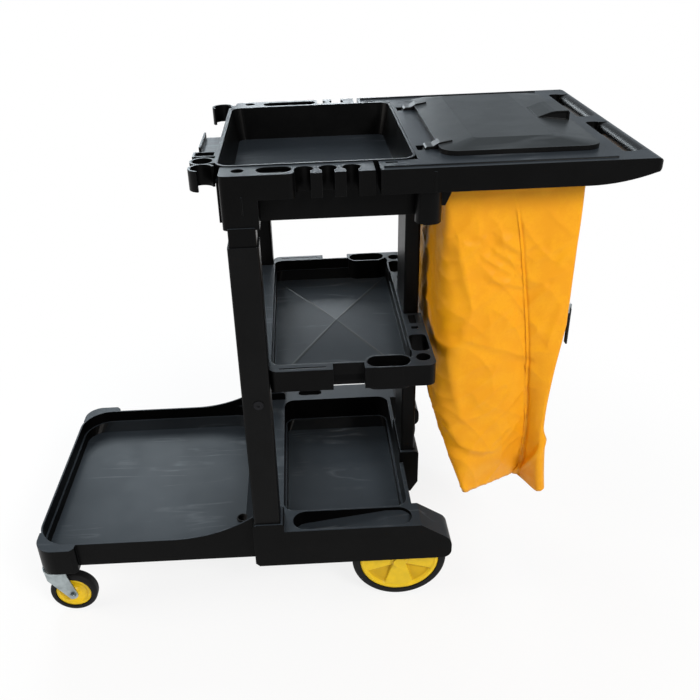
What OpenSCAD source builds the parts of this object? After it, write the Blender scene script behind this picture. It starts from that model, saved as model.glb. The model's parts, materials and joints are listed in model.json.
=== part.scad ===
// Janitor cart: moulded deck and base on two wheels and two swivel casters,
// two front uprights and a rear column, a middle shelf, a top tray with tool
// holders, and a platform behind it that carries a zipped bag under a lid.
// Units are millimetres. X runs from the deck to the handle, Z is up, and the
// floor under the wheels is Z = 0.

/* [Overall] */
// Length from the deck's edge to the handle
overall_l = 1173; // [1155:2:1203]
// Width across the rear base
overall_w = 548; // [544:1:560]
// Height of the tray rim above the floor
rim_z = 954; // [930:2:980]
// Wall thickness of the mouldings
wall = 3.5; // [3:0.25:4]
// Clearance between seated pieces
fit_gap = 0.3; // [0.2:0.05:0.4]
// Radial clearance of pins and bores
run_gap = 0.05; // [0.03:0.01:0.08]

/* [Front deck] */
// Length of the deck up to the rear base
deck_l = 459; // [440:1:480]
// Width across the deck's side walls
deck_w = 496; // [490:1:500]
// Corner radius of the deck
deck_r = 68; // [60:1:76]
// Height of the deck's rim above the floor
deck_rim_z = 185; // [182:1:190]
// Height of the deck's lower edge
deck_bottom_z = 128; // [124:1:130]
// Depth of the upper wall down to the ledge
deck_ledge_h = 29; // [24:1:32]
// Depth of the recess
deck_depth = 47; // [42:1:50]
// Width of the sloped band round the floor
deck_slope = 20; // [14:1:26]
// Width of the sloped band at the deck's front
deck_front = 3; // [2:0.5:6]
// Length of the wall that sweeps up to the upright
deck_rise_l = 172; // [150:2:190]
// Length of a corner pad
pad_l = 84; // [80:1:90]
// Reach of a corner pad from the middle of the cart
pad_y = 266; // [265:1:272]
// Corner radius of a pad
pad_r = 40; // [34:1:44]

/* [Rear base] */
// Length of the rear base with its wheel covers
base_l = 408; // [406:1:416]
// Height of the base's lower edge
base_bottom_z = 125; // [122:1:127]
// Height of the shelf rim
shelf_rim_z = 216; // [212:1:222]
// Height of the upright sockets
socket_z = 236; // [230:1:246]
// Length of the base from the uprights to its back face
base_run = 275; // [270:1:280]
// Inner width of the lower shelf
shelf_w = 422; // [416:1:423]
// Depth of the shelf's upright wall
shelf_ledge_h = 57; // [52:1:60]
// Depth of the lower shelf
shelf_depth = 78; // [74:1:79]
// Rim between the uprights and the lower shelf
shelf_front = 5.5; // [5:0.5:8]
// Rim behind the lower shelf
shelf_back = 8.5; // [8.5:0.5:12]
// Inner face of the wheel covers, from the middle of the cart
cover_y = 205; // [203:0.5:207]
// Length of the side trough
trough_l = 246; // [236:1:248]
// Width of the side trough
trough_w = 54; // [46:1:54]

/* [Uprights and column] */
// Upright size along the cart
post_l = 53; // [50:0.5:55]
// Upright size across the cart
post_d = 49; // [46:0.5:50]
// Height of the uprights' upper ends
post_top_z = 834; // [820:1:840]
// Height of the foot of the uprights and the column
foot_z = 140; // [138:1:150]
// Column size along the cart
column_l = 30; // [28:0.5:32]
// Column width
column_w = 116; // [110:1:120]
// Wall thickness of the uprights and the column
post_wall = 3; // [2.5:0.25:3.5]

/* [Middle shelf] */
// Height of the middle shelf's rim
mid_z = 591; // [570:1:610]
// Width of the middle shelf
mid_w = 532; // [526:1:536]
// Depth of its outer skirt
mid_skirt_h = 43; // [40:1:45]
// Depth of its upper wall
mid_ledge_h = 24; // [20:1:26]
// Depth of its recess
mid_depth = 46; // [44:1:50]
// Width of its side rims
mid_rim = 25; // [24:0.5:27]
// Height of the crease in its floor
mid_crease = 9; // [4:0.5:10]

/* [Top tray] */
// Inner length of the tray
tray_l = 326; // [322:1:330]
// Inner width of the tray
tray_w = 414; // [408:1:416]
// Width across the tray's side rims
tray_out_w = 528; // [526:1:534]
// Depth of the tray
tray_depth = 62; // [56:1:66]
// Depth of the skirt round the tray and the platform
fascia_h = 41; // [38:1:44]
// Length of a side rim
rim_l = 251; // [248:1:252]
// Lower edge of the frame under the tray
apron_z = 859; // [856:1:862]
// Bore of the spring clips
clip_d = 30; // [29:0.25:31]
// Distance between the spring clips
clip_step = 38.5; // [37.5:0.25:39.5]
// Mouth width of the spring clips
clip_mouth = 20; // [18:0.5:22]
// Height of the bead round the tray
lip_h = 1.5; // [1:0.25:2.5]

/* [Tool rail] */
// Height of the rings and hooks
hook_h = 35; // [30:1:44]
// Bore of the ring
ring_d = 35; // [30:1:36]
// Bore of the open hooks
hook_d = 36; // [34:1:38]
// Wall of the ring and the hooks
hook_wall = 4; // [3.5:0.25:4.5]

/* [Bag platform] */
// Gap between a tray rim and a platform arm
arm_gap = 9; // [6:0.5:12]
// Length of the hand slots along Y
grip_l = 199; // [190:1:200]
// Width of the hand slots
grip_slot = 25; // [22:1:27]
// Thickness of the grip rail
grip_d = 26; // [24:0.5:26]
// Height of the bead along the edges
bead_r = 2.5; // [2:0.25:3]

/* [Lid] */
// Length of the lid
lid_l = 268; // [262:1:274]
// Width of the lid
lid_w = 410; // [406:1:416]
// Height of the lid's crest above the platform
lid_h = 18; // [16:0.5:22]
// Height of the thumb lift above the platform
lift_h = 27; // [24:0.5:29]
// Width of the thumb lift
lift_w = 80; // [70:1:92]
// Height of the lid's upright edge
lid_edge_h = 8; // [6:0.5:9]
// Thickness of the lid
lid_t = 3; // [2.5:0.25:3.5]
// Distance of the hinge straps from the middle
strap_y = 146; // [140:1:150]
// Width of a hinge strap
strap_w = 28; // [24:0.5:30]
// Diameter of the hinge pins
hinge_pin_d = 4; // [3.5:0.25:4.5]

/* [Bag] */
// Length of the bag along the cart
bag_l = 239; // [236:1:240]
// Width of the bag
bag_w = 404; // [400:1:406]
// Height of the bag's lower edge
bag_bottom_z = 231; // [225:1:260]
// Thickness of the bag's wall
bag_t = 2.5; // [2:0.25:3]
// Depth of the side gussets at the bottom
gusset = 66; // [40:1:80]
// Height of the reinforced hem
hem_h = 36; // [32:1:38]

/* [Rear wheels] */
// Diameter of the rear wheels
wheel_d = 200; // [194:1:202]
// Width of a rear tyre
wheel_w = 34; // [28:0.5:36]
// Inner face of a rear tyre, from the middle of the cart
wheel_y = 217; // [217:0.5:219]
// Depth of tyre rubber on the rear wheels
tyre_t = 16; // [13:0.5:18]
// Diameter of the rear axle
axle_d = 12; // [10:0.5:13]

/* [Casters] */
// Diameter of the caster wheels
caster_d = 100; // [96:1:104]
// Width of a caster tyre
caster_w = 25; // [22:0.5:26]
// Depth of tyre rubber on the casters
caster_tyre_t = 12; // [10:0.5:14]
// Height of a caster's mounting face
caster_h = 122; // [120:0.5:124]
// Trail of a caster wheel behind its swivel axis
caster_trail = 28; // [24:0.5:32]
// Diameter of a caster's stem
stem_d = 10; // [9:0.5:11]
// Diameter of a caster's axle
caster_pin_d = 8; // [7:0.5:9]

/* [Hidden] */
$fn = 64;
eps = 0.01;
half_w = overall_w / 2;
front_x = -overall_l / 2;
back_x = overall_l / 2;
joint_x = front_x + deck_l;
base_x1 = joint_x + base_l;

// uprights, column and their sockets
post_x0 = joint_x + wall;
post_x1 = post_x0 + post_l;
post_x = (post_x0 + post_x1) / 2;
post_y1 = half_w - wall - fit_gap;
post_y0 = post_y1 - post_d;
post_y = (post_y0 + post_y1) / 2;
shelf_x0 = post_x1 + shelf_front;
base_back_x = post_x1 + base_run;
shelf_x1 = base_back_x - shelf_back;
shelf_l = shelf_x1 - shelf_x0;
column_x0 = base_back_x - 4.5;
column_wall_x = column_x0 - fit_gap - wall;
column_x1 = column_x0 + column_l;
column_x = (column_x0 + column_x1) / 2;
column_top_z = rim_z - 50;

// front deck
deck_rise_h = socket_z - deck_rim_z;
deck_rise_r = (deck_rise_l * deck_rise_l + deck_rise_h * deck_rise_h) / (2 * deck_rise_h);
caster_x = front_x + 31;
caster_y = pad_y - 28;
bolt_z = deck_bottom_z + 13;
bolt_ys = [-160, -60, 60, 160];

// rear wheels
wheel_r = wheel_d / 2;
wheel_x = base_back_x - 29;
wheel_yc = wheel_y + wheel_w / 2;
hub_r = wheel_r - tyre_t;
hanger_y = wheel_y - 10;
trough_x = post_x1 + 25 + trough_l / 2;
trough_y = (half_w + shelf_w / 2) / 2 - 0.5;

// casters
caster_r = caster_d / 2;
caster_hub_r = caster_r - caster_tyre_t;
fork_in = caster_w / 2 + 2.5;
fork_t = 3;
crown_z = caster_h - 9;

// middle shelf
mid_tub_w = mid_w - 2 * mid_rim;
mid_x0 = post_x0 + 22;
mid_plan_x0 = post_x1 + fit_gap;
mid_tub_x0 = mid_plan_x0 + wall;
mid_tub_x1 = column_wall_x - 0.5;
mid_x1 = column_x1 + 5;
mid_hole_x = mid_x1 - 21;
screw_x = post_x0 + 30;
screw_z = mid_z - 67;

// top tray
tray_x1 = column_x0 - fit_gap - 2 * wall;
tray_x0 = tray_x1 - tray_l;
tray_x = (tray_x0 + tray_x1) / 2;
tray_floor_z = rim_z - tray_depth;
rim_y1 = tray_out_w / 2;
rim_y0 = tray_w / 2;
rim_x0 = post_x0 - 4.5;
rim_x1 = rim_x0 + rim_l;
rim_y = (rim_y0 + rim_y1) / 2;
fascia_z = rim_z - fascia_h;
leg_z = fascia_z - 50;
arm_y0 = tray_w / 2 + 5;
frame_y = arm_y0 - fit_gap;
frame_z = rim_z - 21;
clips = [for (i = [0:2]) rim_x0 + 137.5 + i * clip_step];
left_x1 = clips[0] - clip_d / 2 - 1;
right_x1 = clips[1] - 2.5;

// bag platform
arm_x0 = rim_x1 + arm_gap;
plat_x0 = tray_x1 + wall + 1.5;
plat_under_z = rim_z - wall;
grip_x0 = back_x - 52;
grip_x = grip_x0 + grip_slot + grip_d / 2;
grip_z = rim_z - grip_d / 2;
hinge_x = plat_x0 + 22;
hinge_z = rim_z - 6;
strap_slot = 22;
boss_x = plat_x0 + 16;
boss_y = rim_y1 - 30;

// bag and its opening
bag_x0 = column_x1 + 18;
bag_run = min(bag_l, grip_x0 - bag_x0 - 10);
bag_x1 = bag_x0 + bag_run;
bag_x = (bag_x0 + bag_x1) / 2;
bag_top_z = plat_under_z - 42;
hem_top_z = bag_top_z + hem_h;
rib_l = bag_run - 2 * bag_t - 1;
rib_w = bag_w - 2 * bag_t - 1;
mouth_l = rib_l - 2 * wall;
mouth_w = rib_w - 2 * wall;
eye_z = hem_top_z - 14;
eye_r = 4.5;
peg_r = 3;
eye_dx = bag_run / 2 - 41.5;
eye_dy = 120;
bag_zs = [for (k = [0, 0.1, 0.2, 0.3, 0.42, 0.5, 0.58, 0.66, 0.74, 0.82, 0.9, 0.955, 1])
  bag_top_z - k * (bag_top_z - bag_bottom_z)];
zip_y = -(bag_w / 2 - 20);
zip_z = bag_top_z - 0.41 * (bag_top_z - bag_bottom_z) + 12;

// lid
lid_x0 = hinge_x + 19;
lid_run = min(lid_l, grip_x0 - lid_x0 - 4);
lid_x = lid_x0 + lid_run / 2;
lid_x1 = lid_x0 + lid_run;
lid_z = rim_z + 0.4;
lid_top_z = rim_z + lid_h;
crest_x = lid_x - 7;
crest_l = lid_run - 132;
crest_x1 = crest_x + crest_l / 2;
lift_z = rim_z + lift_h;
lift_x1 = lid_x1 - 8;

// Points of an arc from angle a0 to angle a1
function arc(c, r, a0, a1, n = 6) =
  [for (i = [0:n]) let (a = a0 + (a1 - a0) * i / n) c + r * [cos(a), sin(a)]];

// Rounded rectangle, centred
module rrect(l, w, r) {
  square([l - 2 * r, w], center = true);
  square([l, w - 2 * r], center = true);
  for (sx = [-1, 1], sy = [-1, 1])
    translate([sx * (l / 2 - r), sy * (w / 2 - r)])
      circle(r);
}

// Oblong with round ends along X, centred
module stadium(l, w) {
  square([l - w, w], center = true);
  for (s = [-1, 1])
    translate([s * (l - w) / 2, 0])
      circle(d = w);
}

// Box between two corners
module box(a, b) {
  translate(a)
    cube(b - a);
}

// Plan outline raised from z0 to z1
module slab(z0, z1) {
  translate([0, 0, z0])
    linear_extrude(z1 - z0)
      children();
}

// Side outline (X, Z) drawn out from y0 to y1
module side_slab(y0, y1) {
  translate([0, y1, 0])
    rotate([90, 0, 0])
      linear_extrude(y1 - y0)
        children();
}

// Cross outline (Y, Z) drawn out from x0 to x1
module cross_slab(x0, x1) {
  translate([x0, 0, 0])
    rotate([90, 0, 90])
      linear_extrude(x1 - x0)
        children();
}

// Rod along Y through (x, z)
module rod_y(x, z, r, y0, y1) {
  translate([x, y1, z])
    rotate([90, 0, 0])
      cylinder(r = r, h = y1 - y0);
}

// Rod along X through (y, z)
module rod_x(y, z, r, x0, x1) {
  translate([x0, y, z])
    rotate([0, 90, 0])
      cylinder(r = r, h = x1 - x0);
}

// The same shape on both sides of the cart
module both_sides() {
  children();
  mirror([0, 1, 0])
    children();
}

// Recess with a ledge and a sloped band down to its floor, grown by g
// The band is as wide as slope at the sides, front at the front and back at the back
module tub(l, w, r, rim, ledge, floor, ledge_w, slope, front, back, g) {
  slab(ledge - g, rim)
    rrect(l + 2 * g, w + 2 * g, r + g);
  hull($fn = 32) {
    slab(ledge - g - eps, ledge - g + eps)
      rrect(l - 2 * ledge_w + 2 * g, w - 2 * ledge_w + 2 * g, r - ledge_w + g, $fn = 32);
    translate([(front - back) / 2, 0, 0])
      slab(floor - g, floor - g + eps)
        rrect(l - 2 * ledge_w - front - back + 2 * g, w - 2 * ledge_w - 2 * slope + 2 * g,
              max(6, r - ledge_w - slope) + g, $fn = 32);
  }
}

// Deck outline in plan: round corners at the front, square at the joint
module deck_plan(g) {
  l = deck_l - 2 * g;
  translate([front_x + deck_l / 2, 0])
    rrect(l, deck_w - 2 * g, deck_r - g);
  translate([joint_x - g - deck_r, -deck_w / 2 + g])
    square([deck_r, deck_w - 2 * g]);
}

// Corner pad in plan, set in by g
module pad_plan(g) {
  x0 = front_x + 2;
  translate([x0 + pad_r, -(pad_y - pad_r)])
    circle(pad_r - g);
  translate([x0 + pad_r, -pad_y + g])
    polygon([
      [0, 0], [pad_l - pad_r - g - 8, 0], [pad_l - pad_r - g, 8], [pad_l - pad_r - g, 60],
      [0, 60]
    ]);
  translate([x0 + g, -(pad_y - pad_r)])
    square([pad_r, 60 - pad_r + g]);
}

module deck_recess(g) {
  translate([front_x + deck_l / 2, 0, 0])
    tub(deck_l - 2 * wall, deck_w - 2 * wall, deck_r - wall, deck_rim_z + (g > 0 ? 0 : 1),
        deck_rim_z - deck_ledge_h, deck_rim_z - deck_depth, 4, deck_slope, deck_front, deck_slope, g);
}

module front_deck() {
  color("#1e1f21")
  difference() {
    union() {
      slab(deck_rim_z - wall, deck_rim_z)
        deck_plan(0);
      slab(deck_bottom_z, deck_rim_z)
        difference() {
          deck_plan(0);
          deck_plan(wall);
        }
      deck_recess(wall);
      both_sides() {
        // wall that sweeps up to the upright
        side_slab(-deck_w / 2, -deck_w / 2 + wall)
          difference() {
            translate([joint_x - deck_rise_l, deck_rim_z - 1])
              square([deck_rise_l, deck_rise_h + 1]);
            translate([joint_x - deck_rise_l, deck_rim_z + deck_rise_r])
              circle(deck_rise_r, $fn = 180);
          }
        difference() {
          slab(caster_h, deck_rim_z)
            pad_plan(0);
          slab(caster_h - 1, deck_rim_z - wall)
            pad_plan(wall);
        }
        translate([caster_x, -caster_y, caster_h])
          cylinder(r = 16, h = deck_rim_z - wall - caster_h);
      }
      // raised ring of the drain hole
      translate([joint_x - 34, -138, deck_rim_z - deck_depth - wall])
        cylinder(r = 13, h = wall);
    }
    deck_recess(0);
    translate([joint_x - 34, -138, deck_bottom_z])
      cylinder(r = 9, h = 30);
    both_sides()
      translate([caster_x, -caster_y, caster_h - 1])
        cylinder(d = stem_d + 2 * run_gap, h = 32);
    for (y = bolt_ys)
      rod_x(y, bolt_z, 3 + fit_gap, joint_x - wall - 1, joint_x + 1);
  }
}

// Side outline of the rear base, set in by g
function base_side(g) = concat(
  [[joint_x + g, base_bottom_z + 8], [joint_x + 8, base_bottom_z]],
  arc([base_x1 - 18, base_bottom_z + 18], 18 - g, -90, 0),
  arc([base_x1 - 30, base_bottom_z + 32], 30 - g, 0, 58),
  [[base_back_x + 12, shelf_rim_z - g]],
  [[post_x1 + 7, shelf_rim_z - g]],
  arc([post_x1 + 1, socket_z - 6], 6 - g, 0, 90, 4),
  arc([joint_x + 10, socket_z - 10], 10 - g, 90, 180)
);

module trough(g) {
  z1 = shelf_rim_z + (g > 0 ? 0 : 1);
  intersection() {
    translate([trough_x, -trough_y, 0])
      slab(160, z1)
        stadium(trough_l + 2 * g, trough_w + 2 * g);
    side_slab(-half_w - 1, 0)
      polygon([
        [trough_x - trough_l, shelf_rim_z - 54 - g], [trough_x + 72, shelf_rim_z - 8 - g],
        [trough_x + trough_l, shelf_rim_z - 8 - g], [trough_x + trough_l, z1],
        [trough_x - trough_l, z1]
      ]);
  }
}

module shelf_recess(g) {
  translate([(shelf_x0 + shelf_x1) / 2, 0, 0])
    tub(shelf_l, shelf_w, 26, shelf_rim_z + (g > 0 ? 0 : 1), shelf_rim_z - shelf_ledge_h,
        shelf_rim_z - shelf_depth, 4, 18, 1.5, 1.5, g);
}

module rear_base() {
  color("#1e1f21")
  difference() {
    union() {
      box([joint_x, -half_w, shelf_rim_z - wall], [base_back_x, half_w, shelf_rim_z]);
      box([joint_x, -half_w, base_bottom_z + 8], [joint_x + wall, half_w, shelf_rim_z]);
      box([base_back_x - wall, -cover_y - wall, base_bottom_z],
          [base_back_x, cover_y + wall, shelf_rim_z]);
      shelf_recess(wall);
      trough(wall);
      both_sides() {
        side_slab(-half_w, -half_w + wall)
          polygon(base_side(0));
        // wheel cover behind the shelf
        difference() {
          intersection() {
            side_slab(-half_w, -cover_y)
              polygon(base_side(0));
            box([base_back_x - wall, -half_w, 0], [base_x1, 0, socket_z]);
          }
          intersection() {
            union() {
              side_slab(-half_w + wall, -cover_y - wall)
                polygon(base_side(wall));
              box([base_back_x - 20, -half_w + wall, 0],
                  [base_x1 - wall, -cover_y - wall, base_bottom_z + 20]);
            }
            box([base_back_x - 20, -half_w, 0], [base_x1 - wall, 0, socket_z]);
          }
        }
        // socket of the upright
        intersection() {
          side_slab(-half_w, -post_y0 + wall + fit_gap)
            polygon(base_side(0));
          box([joint_x, -half_w, foot_z - wall], [post_x1 + 7, 0, socket_z + 1]);
        }
        // axle hanger under the shelf
        side_slab(-hanger_y, -hanger_y + 11)
          polygon(concat(
            [[wheel_x - 34, shelf_rim_z - shelf_depth + 6], [wheel_x - 30, 124]],
            arc([wheel_x, wheel_r], 16, 205, 335),
            [[wheel_x + 24, 124], [wheel_x + 24, shelf_rim_z - shelf_depth + 20]]
          ));
      }
      // socket of the column
      side_slab(-column_w / 2 - 8, column_w / 2 + 8)
        polygon([
          [shelf_x1 + 1, 133], [column_x1 - 7, 133], [column_x1 + 9, 160],
          [column_x1 + 9, socket_z + 4], [column_x1 + 4, socket_z + 9],
          [column_wall_x + 2, socket_z + 9], [column_wall_x, socket_z + 4],
          [column_wall_x, shelf_rim_z - 2], [shelf_x1 + 1, shelf_rim_z - 2]
        ]);
      // ribs across the hollow rim
      for (x = [post_x1 + 10, trough_x - 20])
        box([x, shelf_w / 2, shelf_rim_z - 40], [x + 3, half_w - 1, shelf_rim_z - 1]);
    }
    shelf_recess(0);
    trough(0);
    both_sides() {
      box([post_x0 - fit_gap, -post_y1 - fit_gap, foot_z],
          [post_x1 + fit_gap, -post_y0 + fit_gap, socket_z + 2]);
      rod_y(wheel_x, wheel_r, axle_d / 2 + run_gap, -hanger_y - 1, -hanger_y + 12);
    }
    box([column_x0 - fit_gap, -column_w / 2 - fit_gap, foot_z],
        [column_x1 + fit_gap, column_w / 2 + fit_gap, socket_z + 10]);
    // short slot in the right rim
    translate([post_x1 + 71, (half_w + shelf_w / 2) / 2 + 1, 0])
      slab(shelf_rim_z - wall - 1, shelf_rim_z + 1)
        stadium(60, 22);
    for (y = bolt_ys)
      rod_x(y, bolt_z, 3 + fit_gap, joint_x - 1, joint_x + wall + 1);
  }
}

// Hollow post
module post_tube(l, w, z0, z1) {
  slab(z0, z1)
    difference() {
      rrect(l, w, 5);
      rrect(l - 2 * post_wall, w - 2 * post_wall, 3);
    }
}

module left_upright() {
  color("#232427")
  difference() {
    translate([post_x, -post_y, 0])
      post_tube(post_l, post_d, foot_z, post_top_z);
    rod_y(screw_x, screw_z, 2.5 + fit_gap, -post_y1 - 1, -post_y0 + 1);
    rod_y(screw_x, screw_z, 9.5 + fit_gap, -post_y1 - 1, -post_y1 + 1.2);
  }
}

module upright_left() {
  left_upright();
}

module upright_right() {
  mirror([0, 1, 0])
    left_upright();
}

module rear_column() {
  color("#232427")
  difference() {
    translate([column_x, 0, 0])
      post_tube(column_l, column_w, foot_z, column_top_z);
    for (y = [-34, 34]) {
      rod_x(y, mid_z - 20, 2.5 + fit_gap, column_x0 - 1, column_x1 + 1);
    }
  }
}

// Outline of the middle shelf in plan, set in by g
module mid_plan(g) {
  translate([(mid_plan_x0 + mid_x1) / 2, 0])
    rrect(mid_x1 - mid_plan_x0 - 2 * g, mid_w - 2 * g, 16 - g);
  translate([mid_x0 + g, -post_y0 + fit_gap + g])
    square([40, 2 * (post_y0 - fit_gap - g)]);
}

module mid_recess(g) {
  translate([(mid_tub_x0 + mid_tub_x1) / 2, 0, 0])
    tub(mid_tub_x1 - mid_tub_x0, mid_tub_w, 18, mid_z + (g > 0 ? 0 : 1), mid_z - mid_ledge_h,
        mid_z - mid_depth, 2, 9, 1, 1, g);
}

// Low pyramid that creases the floor of a tray
module crease(x0, x1, y, z, h) {
  xm = (x0 + x1) / 2;
  polyhedron(
    points = [[x0, -y, z], [x1, -y, z], [x1, y, z], [x0, y, z], [xm, 0, z + h], [xm, 0, z - 1]],
    faces = [[0, 4, 1], [1, 4, 2], [2, 4, 3], [3, 4, 0], [0, 1, 5], [1, 2, 5], [2, 3, 5], [3, 0, 5]]
  );
}

module middle_shelf() {
  low = mid_z - mid_skirt_h;
  pocket_l = 80;
  pocket_w = mid_rim + 13;
  pocket_x = mid_tub_x1 - pocket_l / 2 - 6.5;
  pocket_y = (mid_w - pocket_w) / 2 - 3;
  notch_x1 = pocket_x - pocket_l / 2 - wall - 1.6;
  notch_x0 = notch_x1 - 58;
  notch_y = mid_tub_w / 2 + wall + 0.5;
  color("#1e1f21")
  difference() {
    union() {
      difference() {
        union() {
          slab(mid_z - wall, mid_z)
            mid_plan(0);
          slab(low, mid_z)
            difference() {
              mid_plan(0);
              mid_plan(wall);
            }
          mid_recess(wall);
        }
        mid_recess(0);
      }
      crease(mid_tub_x0 + 4, mid_tub_x1 - 4, mid_tub_w / 2 - 12, mid_z - mid_depth - eps, mid_crease);
      both_sides() {
        // tab that the upright's screw holds
        box([screw_x - 14, -post_y0 + fit_gap, screw_z - 16],
            [screw_x + 14, -post_y0 + fit_gap + wall, mid_z - 1]);
        // set-back wall of the notch
        box([notch_x0 - wall, -mid_w / 2, low],
            [notch_x1 + wall, -mid_tub_w / 2 - wall + 0.5, mid_z]);
        // oblong pocket
        translate([pocket_x, -pocket_y, 0])
          slab(low - 4, mid_z)
            stadium(pocket_l + 2 * wall, pocket_w + 2 * wall);
        // tubes of the ring hole and the square hole
        translate([mid_hole_x, -mid_w / 2 + 31, 0])
          slab(low, mid_z)
            circle(17);
        translate([mid_hole_x, -mid_w / 2 + 86, 0])
          slab(low + 6, mid_z)
            rrect(41, 70, 13);
      }
      // wall against the column
      box([column_wall_x, -column_w / 2 - 6, low],
          [column_x0 - fit_gap, column_w / 2 + 6, mid_z - 1]);
    }
    both_sides() {
      rod_y(screw_x, screw_z, 2.5 + run_gap, -post_y0 - 1, -post_y0 + 8);
      cross_slab(notch_x0, notch_x1)
        polygon([
          [-mid_w / 2 - 1, low - 1], [-notch_y - 4, low - 1], [-notch_y - 3, low + 8],
          [-notch_y, mid_z - mid_ledge_h], [-notch_y, mid_z + 1], [-mid_w / 2 - 1, mid_z + 1]
        ]);
      translate([pocket_x, -pocket_y, 0])
        slab(low, mid_z + 1)
          stadium(pocket_l, pocket_w);
      translate([mid_hole_x, -mid_w / 2 + 31, low - 1])
        cylinder(r = 13.5, h = mid_skirt_h + 2);
      translate([mid_hole_x, -mid_w / 2 + 86, 0])
        slab(low - 1, mid_z + 1)
          rrect(34, 63, 10);
      // loop and short slot beside the column
      translate([mid_hole_x, -column_w / 2 - 26, 0])
        slab(mid_z - wall - 1, mid_z + 1)
          rrect(15, 34, 4);
      translate([mid_hole_x, -column_w / 2 - 62, 0])
        slab(mid_z - wall - 1, mid_z + 1)
          rrect(14, 10, 3);
      // narrow slot in the side rim
      box([mid_tub_x0 + 14, -mid_w / 2 + 9, mid_z - wall - 1],
          [mid_tub_x0 + 100, -mid_w / 2 + 12.5, mid_z + 1]);
    }
    box([column_x0 - fit_gap, -column_w / 2 - fit_gap, low - 1],
        [mid_x1 + 1, column_w / 2 + fit_gap, mid_z + 1]);
    for (y = [-34, 34])
      rod_x(y, mid_z - 20, 2.5 + run_gap, column_x0 - 10, column_x0 + 1);
  }
}

// Tapered basin of the tray, grown by g
module basin(g) {
  hull($fn = 32) {
    translate([tray_x, 0, 0])
      slab(rim_z - eps, rim_z + (g > 0 ? 0 : lip_h + 1))
        rrect(tray_l + 2 * g, tray_w + 2 * g, 22 + g, $fn = 32);
    translate([tray_x, 0, 0])
      slab(tray_floor_z - g, tray_floor_z - g + eps)
        rrect(tray_l - 22 + 2 * g, tray_w - 22 + 2 * g, 16 + g, $fn = 32);
  }
}

module top_tray() {
  color("#1e1f21") {
    difference() {
      union() {
        basin(wall);
        // lip with its bead
        translate([tray_x, 0, 0])
          slab(rim_z - wall, rim_z + lip_h)
            rrect(tray_l + 2 * wall, 2 * frame_y, 22 + wall);
      }
      basin(0);
    }
    crease(tray_x0 + 16, tray_x1 - 16, tray_w / 2 - 16, tray_floor_z - eps, 3);
  }
}

module tray_frame() {
  x0 = tray_x1 + wall - eps;
  x1 = column_x1 + fit_gap + wall;
  color("#1e1f21")
  difference() {
    union() {
      difference() {
        box([tray_x0 - wall, -frame_y, apron_z], [tray_x1 + wall, frame_y, frame_z]);
        box([tray_x0, -frame_y + wall, apron_z - 1], [tray_x1, frame_y - wall, frame_z + 1]);
      }
      // socket of the column and tongue under the platform
      box([x0, -column_w / 2 - 4, apron_z], [x1, column_w / 2 + 4, plat_under_z]);
      box([x0, -110, plat_under_z - wall], [x1, 110, plat_under_z]);
    }
    box([column_x0 - fit_gap, -column_w / 2 - fit_gap, apron_z - 1],
        [column_x1 + fit_gap, column_w / 2 + fit_gap, column_top_z + fit_gap]);
  }
}

// Hollow part of a side rim in plan, set in by g, on the near side
module rim_plan(x1, g) {
  l = x1 - rim_x0 - 2 * g;
  translate([(rim_x0 + x1) / 2, -(rim_y1 + frame_y) / 2])
    rrect(l, rim_y1 - frame_y - 2 * g, 10 - g);
  translate([rim_x0 + g, -frame_y - 20])
    square([l, 20 - g]);
}

// Leg under a side rim in plan, set in by g
module leg_plan(x1, g) {
  intersection() {
    rim_plan(x1, g);
    translate([rim_x0, -rim_y1])
      square([61 - g, rim_y1]);
  }
}

// Side rim with a hole, a slot and the leg whose tenon enters an upright, on the near side
module tool_rim(x1, hole_y, slot_w) {
  slot_x0 = rim_x0 + 59.5;
  slot_x1 = x1 - wall - fit_gap;
  tenon_l = post_l - 2 * post_wall - 2 * fit_gap;
  tenon_d = post_d - 2 * post_wall - 2 * fit_gap;
  color("#1e1f21")
  difference() {
    union() {
      difference() {
        union() {
          slab(fascia_z, rim_z)
            rim_plan(x1, 0);
          slab(leg_z, fascia_z + 1)
            leg_plan(x1, 0);
        }
        slab(fascia_z - 1, rim_z - wall)
          rim_plan(x1, wall);
        slab(leg_z + 4, fascia_z)
          leg_plan(x1, wall);
      }
      translate([post_x, -post_y, 0])
        slab(post_top_z - 26, leg_z + 4)
          rrect(tenon_l, tenon_d, 3);
      // upright rib on the leg
      box([post_x + 2, -rim_y1 - 1.2, fascia_z - 24], [post_x + 5, -rim_y1 + 1, fascia_z + 6]);
    }
    translate([post_x, -post_y, 0])
      slab(post_top_z - 27, leg_z)
        rrect(tenon_l - 2 * post_wall, tenon_d - 2 * post_wall, 1);
    translate([rim_x0 + 30, -rim_y1 + hole_y, rim_z - wall - 1])
      cylinder(r = 10.5, h = wall + 2);
    translate([(slot_x0 + slot_x1) / 2, -rim_y1 + 27, 0])
      slab(rim_z - wall - 1, rim_z + 1)
        stadium(slot_x1 - slot_x0, slot_w);
  }
}

module tool_rim_left() {
  tool_rim(left_x1, 28, 32);
}

module tool_rim_right() {
  mirror([0, 1, 0])
    tool_rim(right_x1, 20, 30);
}

// Spring clips with T-shaped fingers between them, on the near side: the first
// hollow is open towards the side rim
module clip_row(x0, xs) {
  z0 = fascia_z - 1;
  z1 = rim_z + 1;
  y = -rim_y1 + 25;
  color("#1e1f21")
  difference() {
    box([x0, -rim_y1, fascia_z], [rim_x1, -frame_y, rim_z]);
    for (x = xs) {
      translate([x, y, z0])
        cylinder(d = clip_d, h = z1 - z0);
      box([x - clip_mouth / 2, -rim_y1 - 1, z0], [x + clip_mouth / 2, y, z1]);
    }
    box([x0 - 1, -rim_y1 - 1, z0], [xs[0], y, z1]);
  }
}

module clip_row_left() {
  clip_row(left_x1, clips);
}

module clip_row_right() {
  mirror([0, 1, 0])
    clip_row(right_x1, [clips[1], clips[2]]);
}

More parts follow.
